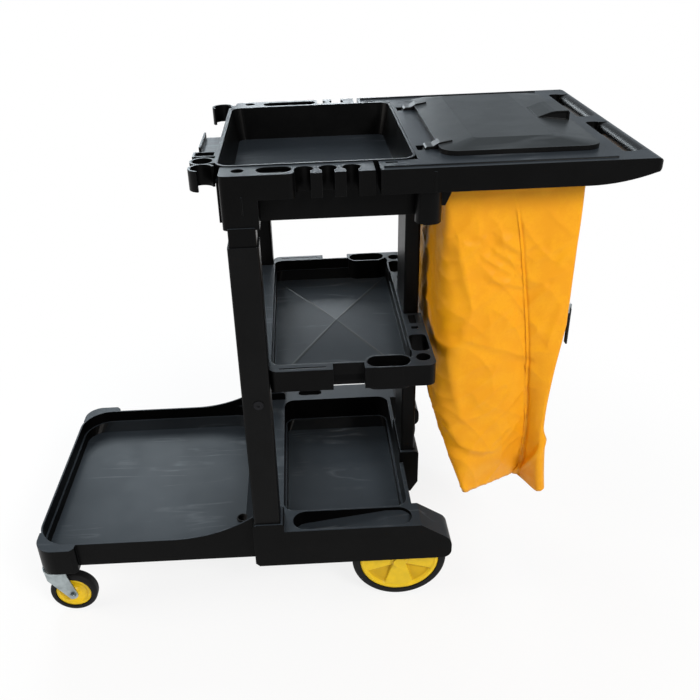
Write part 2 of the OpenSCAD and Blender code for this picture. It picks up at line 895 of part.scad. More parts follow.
// Open hook in plan: a ring whose mouth lies between two angles
module hook_plan(x, y, mouth) {
  translate([x, y])
    difference() {
      circle(hook_d / 2 + hook_wall);
      circle(hook_d / 2);
      polygon(concat([[0, 0]], arc([0, 0], hook_d, mouth[0], mouth[1], 4)));
    }
}

module tool_rail() {
  x1 = tray_x0 - wall;
  ring_x = x1 - 24;
  ring_y = -170;
  near_x = ring_x + 1.5;
  near_y = ring_y - ring_d / 2 - hook_wall - hook_d / 2 + 1;
  far_x = ring_x + 5;
  far_y = 236;
  color("#1e1f21") {
    // ring and the open hook beside it
    slab(rim_z - hook_h, rim_z)
      difference() {
        union() {
          translate([ring_x, ring_y])
            circle(d = ring_d + 2 * hook_wall);
          translate([ring_x, ring_y - 14])
            square([24, 28]);
          hook_plan(near_x, near_y, [-105, 20]);
        }
        translate([ring_x, ring_y])
          circle(d = ring_d);
        translate([near_x, near_y])
          circle(d = hook_d);
      }
    // open hook on the far side, carried by the far rim
    slab(rim_z - hook_h, rim_z)
      difference() {
        union() {
          hook_plan(far_x, far_y, [-140, -20]);
          translate([x1 + 0.5, frame_y + 4])
            square([rim_x0 - x1 - 0.5, far_y - frame_y]);
        }
        translate([far_x, far_y])
          circle(d = hook_d);
      }
    // rail along the tray
    box([x1 - 4, ring_y, rim_z - 20], [x1, frame_y + fit_gap + 6, rim_z]);
    box([x1 - 2, frame_y + fit_gap, rim_z - 20], [rim_x0, frame_y + fit_gap + 6, rim_z]);
    // slot
    difference() {
      box([x1 - 44, -143, rim_z - 34], [x1 - 3, -113, rim_z]);
      box([x1 - 40, -139, rim_z - 35], [x1 - 7, -117, rim_z + 1]);
    }
    // lipped bracket
    box([x1 - 36, -102, rim_z - 9], [x1 - 3, 2, rim_z - 5]);
    box([x1 - 36, -102, rim_z - 9], [x1 - 32.5, 2, rim_z + 5]);
  }
}

// Outline of the platform in plan, set in by g
module plat_plan(g) {
  translate([(plat_x0 + back_x) / 2, 0])
    rrect(back_x - plat_x0 - 2 * g, tray_out_w - 2 * g, 12 - g);
  for (s = [-1, 1])
    translate([arm_x0 + g, s * (arm_y0 + rim_y1) / 2])
      translate([0, -(rim_y1 - arm_y0) / 2 + g])
        square([plat_x0 + 60 - arm_x0 - g, rim_y1 - arm_y0 - 2 * g]);
}

// Side outline of the platform: its lower edge curves up to the handle
function plat_side() = concat(
  [[arm_x0 - 1, rim_z], [arm_x0 - 1, fascia_z]],
  arc([grip_x0 - 66, fascia_z + 330], 330, -90, -71, 8),
  arc([back_x - 12, rim_z - 12], 12, -60, 90, 5)
);

module bag_platform() {
  color("#1e1f21")
  difference() {
    union() {
      difference() {
        intersection() {
          slab(fascia_z - 1, rim_z)
            plat_plan(0);
          side_slab(-rim_y1, rim_y1)
            polygon(plat_side());
        }
        // open underside
        intersection() {
          slab(fascia_z - 2, plat_under_z)
            plat_plan(wall);
          box([arm_x0, -rim_y1, 0], [grip_x0 - 6, rim_y1, rim_z]);
        }
        box([plat_x0 - 5, -arm_y0 - wall, fascia_z - 2], [plat_x0 + 60, arm_y0 + wall, plat_under_z]);
      }
      // rib round the bag opening, with pegs for the eyelets
      translate([bag_x, 0, 0])
        slab(hem_top_z - 26, plat_under_z + 1)
          rrect(rib_l, rib_w, 8);
      for (s = [-1, 1], t = [-1, 1]) {
        rod_y(bag_x + t * eye_dx, eye_z, peg_r, s * rib_w / 2 - 6, s * rib_w / 2 + 6);
        rod_x(t * eye_dy, eye_z, peg_r, bag_x + s * rib_l / 2 - 6, bag_x + s * rib_l / 2 + 6);
      }
      both_sides() {
        // bearing block of a hinge strap
        box([hinge_x - 20, -strap_y - strap_w / 2 - 6, hinge_z - 10],
            [hinge_x + 12, -strap_y + strap_w / 2 + 6, plat_under_z + 1]);
        // round boss under an arm, and its bracket
        translate([boss_x, -boss_y, fascia_z - 58])
          cylinder(r = 22, h = 58 + fascia_h - 1);
        side_slab(-boss_y - 2, -boss_y + 2)
          polygon([
            [boss_x + 15, fascia_z - 32], [boss_x + 28, fascia_z - 32], [boss_x + 42, fascia_z],
            [boss_x + 42, rim_z - 1], [boss_x + 15, rim_z - 1]
          ]);
        translate([boss_x + 5, -rim_y1 + 2, fascia_z + 2])
          cylinder(r = 4, h = fascia_h - 8);
        // bead along the edge
        rod_x(-rim_y1 + 14, rim_z, bead_r, arm_x0 + 6, grip_x0 - 20);
      }
    }
    translate([bag_x, 0, 0])
      slab(hem_top_z - 40, rim_z + 1)
        rrect(mouth_l, mouth_w, 6);
    both_sides() {
      // slot and bore of a hinge strap
      box([hinge_x + 6.5 - strap_slot, -strap_y - strap_w / 2 - 0.6, hinge_z - 11],
          [hinge_x + 6.5, -strap_y + strap_w / 2 + 0.6, rim_z + 1]);
      rod_y(hinge_x, hinge_z, hinge_pin_d / 2 + run_gap,
            -strap_y - strap_w / 2 - 7, -strap_y + strap_w / 2 + 4);
      translate([boss_x, -boss_y, fascia_z - 59])
        cylinder(r = 18, h = 70);
      box([arm_x0 + 11, -arm_y0 - 15, plat_under_z - 1], [arm_x0 + 31, -arm_y0 - 9, rim_z + 1]);
      // hand slot
      translate([grip_x0 + grip_slot / 2, -20 - grip_l / 2, 0])
        slab(fascia_z - 1, rim_z + 1)
          rrect(grip_slot, grip_l, 9);
      // rounding of the grip rail
      difference() {
        box([grip_x - grip_d / 2 - 1, -20 - grip_l + 4, fascia_z - 2], [grip_x, -24, rim_z + 1]);
        rod_y(grip_x, grip_z, grip_d / 2, -half_w, 0);
      }
    }
  }
}

// Height of the lid's rear slope at x
function slope_z(x) =
  lid_top_z - (x - crest_x1) * (lid_top_z - lid_z - lid_edge_h) / (lid_x1 - 2 - crest_x1);

// Side outline of a hinge strap with its knuckle
module strap_side() {
  edge_z = rim_z + lid_edge_h;
  translate([hinge_x, hinge_z])
    circle(4.5);
  polygon([
    [hinge_x - 2.5, hinge_z], [hinge_x - 2.5, rim_z + 2.5], [hinge_x, rim_z + 4.8],
    [lid_x0 - 8, rim_z + 5.5], [lid_x0 + 3, edge_z + 3.5], [lid_x0 + 24, edge_z + 7],
    [lid_x0 + 24, edge_z + 3], [lid_x0 + 2, edge_z - 2], [lid_x0 + 2, rim_z + 0.6],
    [hinge_x + 4.2, rim_z + 0.6], [hinge_x + 4.2, hinge_z]
  ]);
}

module lid() {
  color("#222326")
  difference() {
    union() {
      translate([lid_x, 0, 0])
        slab(lid_z, lid_z + lid_edge_h)
          rrect(lid_run, lid_w, 28);
      hull($fn = 32) {
        translate([lid_x, 0, 0])
          slab(lid_z + lid_edge_h - eps, lid_z + lid_edge_h)
            rrect(lid_run - 4, lid_w - 4, 26, $fn = 32);
        translate([crest_x, 0, 0])
          slab(lid_top_z - eps, lid_top_z)
            rrect(crest_l, lid_w - 82, 10, $fn = 32);
      }
      // thumb lift
      side_slab(-lift_w / 2, lift_w / 2)
        polygon([
          [lift_x1 - 60, lid_top_z - 4], [lift_x1 - 58, lid_top_z - 0.5], [lift_x1 - 44, lift_z - 4.6],
          [lift_x1 - 34, lift_z - 1.3], [lift_x1 - 26, lift_z], [lift_x1 - 3, lift_z],
          [lift_x1, lift_z - 3], [lift_x1, lid_z + lid_edge_h], [lift_x1 - 54, lid_z + lid_edge_h]
        ]);
      both_sides()
        side_slab(-strap_y - strap_w / 2, -strap_y + strap_w / 2)
          strap_side();
    }
    translate([lid_x, 0, 0])
      slab(lid_z - 1, lid_z + lid_edge_h - lid_t)
        rrect(lid_run - 2 * lid_t, lid_w - 2 * lid_t, 25);
    hull($fn = 32) {
      translate([lid_x, 0, 0])
        slab(lid_z + lid_edge_h - lid_t - eps, lid_z + lid_edge_h - lid_t)
          rrect(lid_run - 2 * lid_t - 4, lid_w - 2 * lid_t - 4, 24, $fn = 32);
      translate([crest_x, 0, 0])
        slab(lid_top_z - lid_t - eps, lid_top_z - lid_t)
          rrect(crest_l - 6, lid_w - 88, 8, $fn = 32);
    }
    // panels set into the sides of the thumb lift
    both_sides()
      side_slab(-lift_w / 2 - 1, -lift_w / 2 + 2.5)
        polygon([
          [lift_x1 - 48, slope_z(lift_x1 - 48) + 1.5], [lift_x1 - 36, lift_z - 5.2],
          [lift_x1 - 26, lift_z - 3], [lift_x1 - 3.5, lift_z - 3],
          [lift_x1 - 3.5, slope_z(lift_x1 - 3.5) + 1.5]
        ]);
    both_sides()
      rod_y(hinge_x, hinge_z, hinge_pin_d / 2 + run_gap,
            -strap_y - strap_w / 2 - 1, -strap_y + strap_w / 2 + 1);
  }
}

module hinge_pins() {
  color("#b9bcc0")
    both_sides()
      rod_y(hinge_x, hinge_z, hinge_pin_d / 2, -strap_y - strap_w / 2 - 5.5, -strap_y + strap_w / 2 + 3.5);
}

// Back face of the bag at height z: it hangs straight, then bows in
function bag_back(z) = let (t = (bag_top_z - z) / (bag_top_z - bag_bottom_z))
  bag_x1 - 15 * sin(180 * max(0, (t - 0.42) / 0.66));

// Outline of the bag at height z, set in by g: the sides fold in along a gusset
// that deepens downwards, and the front slants back near the bottom
function bag_outline(z, g) = let (
  t = (bag_top_z - z) / (bag_top_z - bag_bottom_z),
  x0 = bag_x0 + g + 0.27 * bag_run * pow(max(0, (t - 0.64) / 0.36), 1.4),
  x1 = bag_back(z) - g,
  y = bag_w / 2 - g,
  xs = bag_x + 0.285 * bag_run * pow(t, 1.3),
  v = gusset * pow(t, 1.2) + 3 * g * t,
  f = 1 + 5 * sin(180 * t),
  side = [
    [x0 + 8, -y], [x0 + (xs - x0) * 0.4, -y - f * 0.6], [x0 + (xs - x0) * 0.8, -y + v * 0.45],
    [xs, -y + v], [x1 + (xs - x1) * 0.7, -y + v * 0.45], [x1 - 8, -y]
  ],
  back = [[x1, -y + 8], [x1, -y + 60], [x1, -y * 0.3], [x1, y * 0.3], [x1, y - 60], [x1, y - 8]],
  front = [[x0, y - 8], [x0 - f * 0.3, y * 0.5], [x0 - f * 0.5, 0], [x0 - f * 0.3, -y * 0.5], [x0, -y + 8]]
) concat(side, back, [for (i = [5:-1:0]) [side[i][0], -side[i][1]]], front);

module bag() {
  zs = bag_zs;
  m = len(zs);
  outer = [for (z = zs) for (p = bag_outline(z, 0)) [p[0], p[1], z]];
  inner = [for (i = [0:m - 1]) let (z = i == m - 1 ? zs[i] + bag_t : zs[i])
    for (p = bag_outline(z, bag_t)) [p[0], p[1], z]];
  n = len(bag_outline(bag_top_z, 0));
  k = m * n;
  xc = bag_x + 0.1 * bag_run;
  quads = [for (i = [0:m - 2], j = [0:n - 1]) [i * n + j, i * n + (j + 1) % n]];
  color("#e8a21c")
    polyhedron(
      points = concat(outer, inner, [[xc, 0, bag_bottom_z], [xc, 0, bag_bottom_z + bag_t]]),
      faces = concat(
        [for (q = quads) [q[0], q[1], q[1] + n]],
        [for (q = quads) [q[0], q[1] + n, q[0] + n]],
        [for (q = quads) [k + q[0], k + q[1] + n, k + q[1]]],
        [for (q = quads) [k + q[0], k + q[0] + n, k + q[1] + n]],
        [for (j = [0:n - 1]) [j, k + j, (j + 1) % n]],
        [for (j = [0:n - 1]) [(j + 1) % n, k + j, k + (j + 1) % n]],
        [for (j = [0:n - 1]) [(m - 1) * n + j, (m - 1) * n + (j + 1) % n, 2 * k]],
        [for (j = [0:n - 1]) [k + (m - 1) * n + j, 2 * k + 1, k + (m - 1) * n + (j + 1) % n]]
      )
    );
}

module bag_hem() {
  color("#d9961a")
  difference() {
    translate([bag_x, 0, 0])
      slab(bag_top_z, hem_top_z)
        difference() {
          rrect(bag_run, bag_w, 9);
          rrect(bag_run - 2 * bag_t, bag_w - 2 * bag_t, 8.5);
        }
    for (s = [-1, 1], t = [-1, 1]) {
      rod_y(bag_x + t * eye_dx, eye_z, eye_r + 1, s * bag_w / 2 - 8, s * bag_w / 2 + 8);
      rod_x(t * eye_dy, eye_z, eye_r + 1, bag_x + s * bag_run / 2 - 8, bag_x + s * bag_run / 2 + 8);
    }
  }
}

// Flanged eyelet standing on the XY plane
module eyelet() {
  difference() {
    union() {
      cylinder(r = eye_r + 4, h = 1);
      translate([0, 0, -bag_t + 0.1])
        cylinder(r = eye_r + 1 - run_gap, h = bag_t);
    }
    translate([0, 0, -bag_t - 1])
      cylinder(r = eye_r, h = bag_t + 3);
  }
}

module bag_eyelets() {
  color("#b9bcc0")
    for (t = [-1, 1]) {
      both_sides()
        translate([bag_x + t * eye_dx, -bag_w / 2, eye_z])
          rotate([90, 0, 0])
            eyelet();
      translate([bag_x1, t * eye_dy, eye_z])
        rotate([0, 90, 0])
          eyelet();
      translate([bag_x0, t * eye_dy, eye_z])
        rotate([0, -90, 0])
          eyelet();
    }
}

// Side outline of a strip of depth t on the back of the bag
module zip_side(t) {
  zs = [for (i = [0:len(bag_zs) - 3]) bag_zs[i]];
  polygon(concat(
    [for (z = zs) [bag_back(z), z]],
    [for (i = [len(zs) - 1:-1:0]) [bag_back(zs[i]) + t, zs[i]]]
  ));
}

module zip_tape() {
  color("#2a2a2c") {
    side_slab(zip_y - 14, zip_y + 14)
      zip_side(1);
    side_slab(zip_y - 2.5, zip_y + 2.5)
      zip_side(2.6);
  }
}

module zip_slider() {
  x0 = bag_x1 + 1 + fit_gap;
  color("#b9bcc0")
  difference() {
    union() {
      box([x0, zip_y - 6, zip_z], [x0 + 4.5, zip_y + 6, zip_z + 20]);
      box([x0 + 4, zip_y - 1.6, zip_z + 4], [x0 + 9, zip_y + 1.6, zip_z + 16]);
    }
    box([x0 - 1, zip_y - 2.5 - fit_gap, zip_z - 1],
        [bag_x1 + 2.6 + fit_gap, zip_y + 2.5 + fit_gap, zip_z + 21]);
    rod_y(x0 + 6.6, zip_z + 8, 1.5, zip_y - 4, zip_y + 4);
  }
}

module zip_pull() {
  x = bag_x1 + 1 + fit_gap + 6.6;
  color("#2a2a2c")
  union() {
    rod_y(x, zip_z + 8, 1.4, zip_y - 5.5, zip_y + 5.5);
    for (s = [-1, 1])
      box([x - 1.4, zip_y + s * 4 - 1.5, zip_z - 16], [x + 1.4, zip_y + s * 4 + 1.5, zip_z + 8]);
    box([x - 1.4, zip_y - 5.5, zip_z - 66], [x + 1.4, zip_y + 5.5, zip_z - 14]);
  }
}

module rear_axle() {
  color("#b9bcc0")
    rod_y(wheel_x, wheel_r, axle_d / 2, -wheel_y - wheel_w - 6, wheel_y + wheel_w + 6);
}

module wheel_washers() {
  color("#b9bcc0")
    both_sides()
      difference() {
        rod_y(wheel_x, wheel_r, 12, -wheel_y + 5.3, -hanger_y - 0.1);
        rod_y(wheel_x, wheel_r, axle_d / 2 + run_gap, -wheel_y, -hanger_y + 5);
      }
}

module axle_caps() {
  color("#e3bb22")
    both_sides()
      difference() {
        rod_y(wheel_x, wheel_r, 13, -wheel_y - wheel_w - 8, -wheel_y - wheel_w - 2.3);
        rod_y(wheel_x, wheel_r, axle_d / 2 + run_gap, -wheel_y - wheel_w - 6, -wheel_y);
      }
}

// Five recessed panels between the spokes of a rear hub
module hub_panels() {
  for (i = [0:4])
    rotate(126 + 72 * i)
      polygon(concat([[26, -3], [26, 3]], arc([0, 0], hub_r - 11, 23, -23, 8)));
}

module left_hub() {
  y0 = -wheel_y - wheel_w;
  color("#e3bb22")
  difference() {
    union() {
      rod_y(wheel_x, wheel_r, hub_r, y0 + 3, -wheel_y - 3);
      rod_y(wheel_x, wheel_r, 18, y0 - 2, -wheel_y + 5);
      translate([wheel_x, y0 + 3, wheel_r])
        rotate([90, 0, 0])
          difference() {
            cylinder(r = hub_r - 2, h = 2);
            translate([0, 0, -1])
              cylinder(r = hub_r - 8, h = 4);
          }
    }
    for (y = [y0 + 9, -wheel_y])
      translate([wheel_x, y, wheel_r])
        rotate([90, 0, 0])
          linear_extrude(9)
            hub_panels();
    rod_y(wheel_x, wheel_r, axle_d / 2 + run_gap, y0 - 3, -wheel_y + 6);
  }
}

module rear_hub_left() {
  left_hub();
}

module rear_hub_right() {
  mirror([0, 1, 0])
    left_hub();
}

// Tyre with round shoulders between radius r0 and r1
module tyre(r0, r1, w, s) {
  color("#17181a")
    rotate([90, 0, 0])
      rotate_extrude()
        polygon(concat(
          [[r0, -w / 2], [r1 - s, -w / 2]],
          [for (p = arc([r1 - s, -w / 2 + s], s, -75, 0, 5)) p],
          [for (p = arc([r1 - s, w / 2 - s], s, 0, 75, 5)) p],
          [[r1 - s, w / 2], [r0, w / 2]]
        ));
}

module rear_tyre_left() {
  translate([wheel_x, -wheel_yc, wheel_r])
    tyre(hub_r + run_gap, wheel_r, wheel_w, 8);
}

module rear_tyre_right() {
  translate([wheel_x, wheel_yc, wheel_r])
    tyre(hub_r + run_gap, wheel_r, wheel_w, 8);
}

// Stem, upper race and kingpin of the left caster
module left_stem() {
  color("#b9bcc0")
    translate([caster_x, -caster_y, 0]) {
      translate([0, 0, crown_z - 8])
        cylinder(d = stem_d, h = caster_h - crown_z + 8 + 29);
      translate([0, 0, crown_z + 4 + fit_gap])
        cylinder(r = 27, h = caster_h - crown_z - 4 - fit_gap);
      translate([0, 0, crown_z - 8])
        cylinder(r = 9, h = 8 - fit_gap - 0.7);
    }
}

module caster_stem_left() {
  left_stem();
}

module caster_stem_right() {
  mirror([0, 1, 0])
    left_stem();
}

// Side outline of a fork leg
function fork_side() = concat(
  [[-20, crown_z + 4], [-18, crown_z - 18]],
  arc([caster_trail, caster_r], 11, 215, 375, 8),
  [[24, crown_z - 6], [24, crown_z + 4]]
);

module left_fork() {
  color("#b9bcc0")
    translate([caster_x, -caster_y, 0])
      difference() {
        union() {
          translate([0, 0, crown_z])
            cylinder(r = 25, h = 4);
          box([-20, -fork_in - fork_t, crown_z], [24, fork_in + fork_t, crown_z + 4]);
          both_sides()
            side_slab(-fork_in - fork_t, -fork_in)
              polygon(fork_side());
        }
        translate([0, 0, crown_z - 1])
          cylinder(d = stem_d + 2 * run_gap, h = 6);
        rod_y(caster_trail, caster_r, caster_pin_d / 2 + run_gap, -fork_in - 10, fork_in + 10);
      }
}

module caster_fork_left() {
  left_fork();
}

module caster_fork_right() {
  mirror([0, 1, 0])
    left_fork();
}

module left_bolt() {
  color("#8b8e92")
    translate([caster_x, -caster_y, 0]) {
      rod_y(caster_trail, caster_r, caster_pin_d / 2, -fork_in - fork_t - 6, fork_in + fork_t + 6);
      both_sides()
        rod_y(caster_trail, caster_r, 7, -fork_in - fork_t - 5, -fork_in - fork_t, $fn = 6);
    }
}

module caster_bolt_left() {
  left_bolt();
}

module caster_bolt_right() {
  mirror([0, 1, 0])
    left_bolt();
}

module left_caster_hub() {
  color("#e3bb22")
    translate([caster_x + caster_trail, -caster_y, caster_r])
      difference() {
        union() {
          rod_y(0, 0, caster_hub_r, -caster_w / 2 + 2, caster_w / 2 - 2);
          rod_y(0, 0, 11, -fork_in + 0.4, fork_in - 0.4);
        }
        rod_y(0, 0, caster_pin_d / 2 + run_gap, -caster_w, caster_w);
      }
}

module caster_hub_left() {
  left_caster_hub();
}

module caster_hub_right() {
  mirror([0, 1, 0])
    left_caster_hub();
}

module caster_tyre_left() {
  translate([caster_x + caster_trail, -caster_y, caster_r])
    tyre(caster_hub_r + run_gap, caster_r, caster_w, 7);
}

module caster_tyre_right() {
  translate([caster_x + caster_trail, caster_y, caster_r])
    tyre(caster_hub_r + run_gap, caster_r, caster_w, 7);
}

module upright_screws() {
  color("#3a3b3d")
    both_sides()
      difference() {
        union() {
          rod_y(screw_x, screw_z, 2.5, -post_y1 + 1, -post_y0 + fit_gap + wall + 3);
          rod_y(screw_x, screw_z, 9.5, -post_y1 - 1, -post_y1 + 1.2);
        }
        rod_y(screw_x, screw_z, 4, -post_y1 - 2, -post_y1 + 0.4, $fn = 6);
      }
}

module column_screws() {
  color("#8b8e92")
    for (y = [-34, 34]) {
      rod_x(y, mid_z - 20, 2.5, column_wall_x + 0.5, column_x1 + 1);
      rod_x(y, mid_z - 20, 6, column_x1, column_x1 + 3);
    }
}

module deck_bolts() {
  color("#3a3b3d")
    for (y = bolt_ys) {
      rod_x(y, bolt_z, 3, joint_x - wall - 3, joint_x + wall + 6);
      rod_x(y, bolt_z, 6, joint_x - wall - 4, joint_x - wall);
      rod_x(y, bolt_z, 6.5, joint_x + wall, joint_x + wall + 5, $fn = 6);
    }
}

front_deck();
rear_base();
upright_left();
upright_right();
rear_column();
middle_shelf();
top_tray();
tray_frame();
tool_rim_left();
tool_rim_right();
clip_row_left();
clip_row_right();
tool_rail();
bag_platform();
lid();
hinge_pins();
bag();
bag_hem();
bag_eyelets();
zip_tape();
zip_slider();
zip_pull();
rear_axle();
wheel_washers();
axle_caps();
rear_hub_left();
rear_hub_right();
rear_tyre_left();
rear_tyre_right();
caster_stem_left();
caster_stem_right();
caster_fork_left();
caster_fork_right();
caster_bolt_left();
caster_bolt_right();
caster_hub_left();
caster_hub_right();
caster_tyre_left();
caster_tyre_right();
upright_screws();
column_screws();
deck_bolts();
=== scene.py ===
# %% [markdown]
# # Dressing a janitor cart
# The cart is a set of black mouldings on four wheels, with a yellow vinyl bag hung under a lidded
# platform. Its rigid pieces come from the solid model and already sit in place, so this lesson is about
# what makes them look real: moulded grain, dust with a painted sheen on the flat tops, rubbed edges with
# a painted highlight, plated steel, and a bag that hangs in folds.

# %% Load the solid pieces
import json
import math
import bpy
from mathutils import Matrix, Vector, noise


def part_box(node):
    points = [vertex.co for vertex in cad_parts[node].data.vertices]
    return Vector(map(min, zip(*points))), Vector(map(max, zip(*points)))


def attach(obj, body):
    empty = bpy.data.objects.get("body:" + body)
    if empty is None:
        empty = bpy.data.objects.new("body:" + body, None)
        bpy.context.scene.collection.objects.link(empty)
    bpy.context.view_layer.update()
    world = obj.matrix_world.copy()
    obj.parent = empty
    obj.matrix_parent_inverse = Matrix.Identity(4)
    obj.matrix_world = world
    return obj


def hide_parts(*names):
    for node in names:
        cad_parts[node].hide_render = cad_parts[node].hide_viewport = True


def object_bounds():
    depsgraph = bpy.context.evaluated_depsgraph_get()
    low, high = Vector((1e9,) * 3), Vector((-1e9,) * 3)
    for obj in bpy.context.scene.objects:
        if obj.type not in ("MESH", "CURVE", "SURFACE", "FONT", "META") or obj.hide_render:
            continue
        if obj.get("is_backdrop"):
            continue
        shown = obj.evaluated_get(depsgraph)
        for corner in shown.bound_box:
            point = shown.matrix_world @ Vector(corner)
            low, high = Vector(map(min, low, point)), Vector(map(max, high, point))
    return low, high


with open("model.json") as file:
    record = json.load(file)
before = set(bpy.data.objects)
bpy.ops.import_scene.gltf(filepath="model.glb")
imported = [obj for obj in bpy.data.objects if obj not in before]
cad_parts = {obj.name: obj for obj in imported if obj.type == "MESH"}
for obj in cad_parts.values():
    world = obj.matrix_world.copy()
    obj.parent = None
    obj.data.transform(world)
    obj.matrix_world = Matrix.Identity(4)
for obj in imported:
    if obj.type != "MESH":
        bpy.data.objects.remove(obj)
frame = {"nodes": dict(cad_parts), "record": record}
solids = frame["nodes"]
cad_box = [list(corner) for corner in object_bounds()]
print("solid pieces:", len(solids), "box:", cad_box)

# %% [markdown]
# ## The camera
# The picture was taken from the near side, about thirty degrees above the cart, with a slight turn and
# tilt of the camera. A camera can be aimed by tracking an empty, but the angles were worked out from
# straight edges of the cart, so here they are set as turns about the axes.

# %% Photo camera
photo_yaw, photo_pitch, photo_roll = 0.014874, 0.517138, -0.039119
photo_place = Vector((0.0057, -1.4813, 1.3258))

lens = bpy.data.cameras.new("photo_lens")
lens.lens = 40.43
lens.sensor_width = 36.0
lens.shift_x = 0.0424
lens.shift_y = -0.001
camera = bpy.data.objects.new("photo_camera", lens)
bpy.context.collection.objects.link(camera)
camera.matrix_world = (
    Matrix.Translation(photo_place)
    @ Matrix.Rotation(-photo_yaw, 4, "Z")
    @ Matrix.Rotation(math.pi / 2 - photo_pitch, 4, "X")
    @ Matrix.Rotation(photo_roll, 4, "Z")
)
bpy.context.scene.camera = camera
bpy.context.scene.view_settings.view_transform = "Standard"
print("camera at", tuple(round(v, 3) for v in photo_place))

# %% [markdown]
# ## Nodes with less typing
# A material is a small graph. Adding each node and link by hand takes four lines, so one helper makes a
# node, sets its options and fills its sockets, and it links a socket when it is given one. The others
# stand for the steps that come up again and again: a sum, a blend, a range.

# %% Node helpers
def add(tree, kind, fill=None, **options):
    node = tree.nodes.new(kind)
    for key, value in options.items():
        setattr(node, key, value)
    for key, value in (fill or {}).items():
        if isinstance(value, bpy.types.NodeSocket):
            tree.links.new(value, node.inputs[key])
        else:
            node.inputs[key].default_value = value
    return node


def work_out(tree, operation, first, second=0.0):
    return add(tree, "ShaderNodeMath", {0: first, 1: second}, operation=operation).outputs[0]


def times(tree, first, second):
    return work_out(tree, "MULTIPLY", first, second)


def spread(tree, value, low, high, to_low=0.0, to_high=1.0, soft=True):
    fill = {"Value": value, "From Min": low, "From Max": high, "To Min": to_low, "To Max": to_high}
    way = "SMOOTHSTEP" if soft else "LINEAR"
    return add(tree, "ShaderNodeMapRange", fill, interpolation_type=way).outputs["Result"]


def blend_colours(tree, factor, first, second):
    node = add(tree, "ShaderNodeMix", {0: factor, 6: first, 7: second}, data_type="RGBA")
    return node.outputs[2]


def blend_shaders(tree, factor, first, second):
    return add(tree, "ShaderNodeMixShader", {0: factor, 1: first, 2: second}).outputs[0]


def rgb(red, green, blue):
    return (red, green, blue, 1.0)


print("node helpers ready")

# %% [markdown]
# ## The studio
# The cart stands on a white sweep. The world is plain white to the camera. As a light it is dimmer, so
# the background stays white without flooding the black plastic. Reflections see a cool room that is
# darker overhead and on the camera's side, as a studio is. The floor is part white glow, part lit
# surface, which keeps a soft shadow under the wheels.

# %% World light
mirror_tint, camera_side_dim, overhead_dim = rgb(0.72, 0.79, 0.85), 0.35, 0.5
fill_tint, fill_strength = rgb(0.96, 0.98, 1.0), 0.36

room = bpy.data.worlds.new("studio_room")
room.use_nodes = True
bpy.context.scene.world = room
tree = room.node_tree
tree.nodes.clear()
path = add(tree, "ShaderNodeLightPath").outputs
looking = add(tree, "ShaderNodeTexCoord").outputs["Generated"]
toward = add(tree, "ShaderNodeSeparateXYZ", {0: looking}).outputs
camera_side = spread(tree, toward["Y"], -0.4, 0.7, camera_side_dim, 1.0)
overhead = spread(tree, toward["Z"], 0.15, 0.75, 1.0, overhead_dim)
mirrored = times(tree, camera_side, overhead)
mirror_light = add(tree, "ShaderNodeBackground", {"Color": mirror_tint, "Strength": mirrored})
soft_light = add(tree, "ShaderNodeBackground", {"Color": fill_tint, "Strength": fill_strength})
white = add(tree, "ShaderNodeBackground", {"Color": rgb(1, 1, 1), "Strength": 1.0})
clear_rays = work_out(tree, "MAXIMUM", path["Is Glossy Ray"], path["Is Transmission Ray"])
lit = blend_shaders(tree, clear_rays, soft_light.outputs[0], mirror_light.outputs[0])
seen = blend_shaders(tree, path["Is Camera Ray"], lit, white.outputs[0])
add(tree, "ShaderNodeOutputWorld", {"Surface": seen})
print("world ready, fill strength", fill_strength)

# %% White sweep
shadow_near, shadow_far, shadow_glow = 0.7, 1.3, 0.84
sweep_reach, sweep_gap = 9.0, 0.0005


def sweep_material():
    mat = bpy.data.materials.new("white_sweep")
    mat.use_nodes = True
    tree = mat.node_tree
    tree.nodes.clear()
    path = add(tree, "ShaderNodeLightPath").outputs
    clear_rays = work_out(tree, "MAXIMUM", path["Is Glossy Ray"], path["Is Transmission Ray"])
    seen = work_out(tree, "MAXIMUM", path["Is Camera Ray"], clear_rays)
    speck = add(tree, "ShaderNodeTexNoise", {"Scale": 3.0, "Detail": 4.0})
    paper = blend_colours(tree, speck.outputs[0], rgb(0.78, 0.79, 0.80), rgb(0.82, 0.82, 0.82))
    lit = add(tree, "ShaderNodeBsdfDiffuse", {"Color": paper})
    glow = add(tree, "ShaderNodeEmission", {"Color": rgb(1, 1, 1), "Strength": 1.0})
    spot = add(tree, "ShaderNodeTexCoord").outputs["Object"]
    far = add(tree, "ShaderNodeVectorMath", {0: spot}, operation="LENGTH").outputs["Value"]
    fade = spread(tree, far, shadow_near, shadow_far, shadow_glow, 1.0)
    both = blend_shaders(tree, times(tree, seen, fade), lit.outputs[0], glow.outputs[0])
    add(tree, "ShaderNodeOutputMaterial", {"Surface": both})
    return mat


sweep_mesh = bpy.data.meshes.new("white_sweep")
sweep_corners = [(sweep_reach * sx, sweep_reach * sy, 0) for sx, sy in ((-1, -1), (1, -1), (1, 1), (-1, 1))]
sweep_mesh.from_pydata(sweep_corners, [], [(0, 1, 2, 3)])
sweep = bpy.data.objects.new("white_sweep", sweep_mesh)
sweep.location.z = cad_box[0][2] - sweep_gap
sweep_mesh.materials.append(sweep_material())
bpy.context.collection.objects.link(sweep)
sweep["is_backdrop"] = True
print("floor at z", round(sweep.location.z, 4))

# %% [markdown]
# ## Lamps
# Most of the light comes from the camera's right, and a warmer lamp fills from the left. The level floors
# of the deck and the middle shelf shine with a cool light from behind. A sun lamp would draw hard
# shadows, so each lamp is a square soft box, aimed at what it lights.

# %% Soft boxes
cart_middle, deck_floor, shelf_floor = (0.1, 0.0, 0.55), (-0.35, 0.0, 0.2), (0.07, 0.0, 0.6)


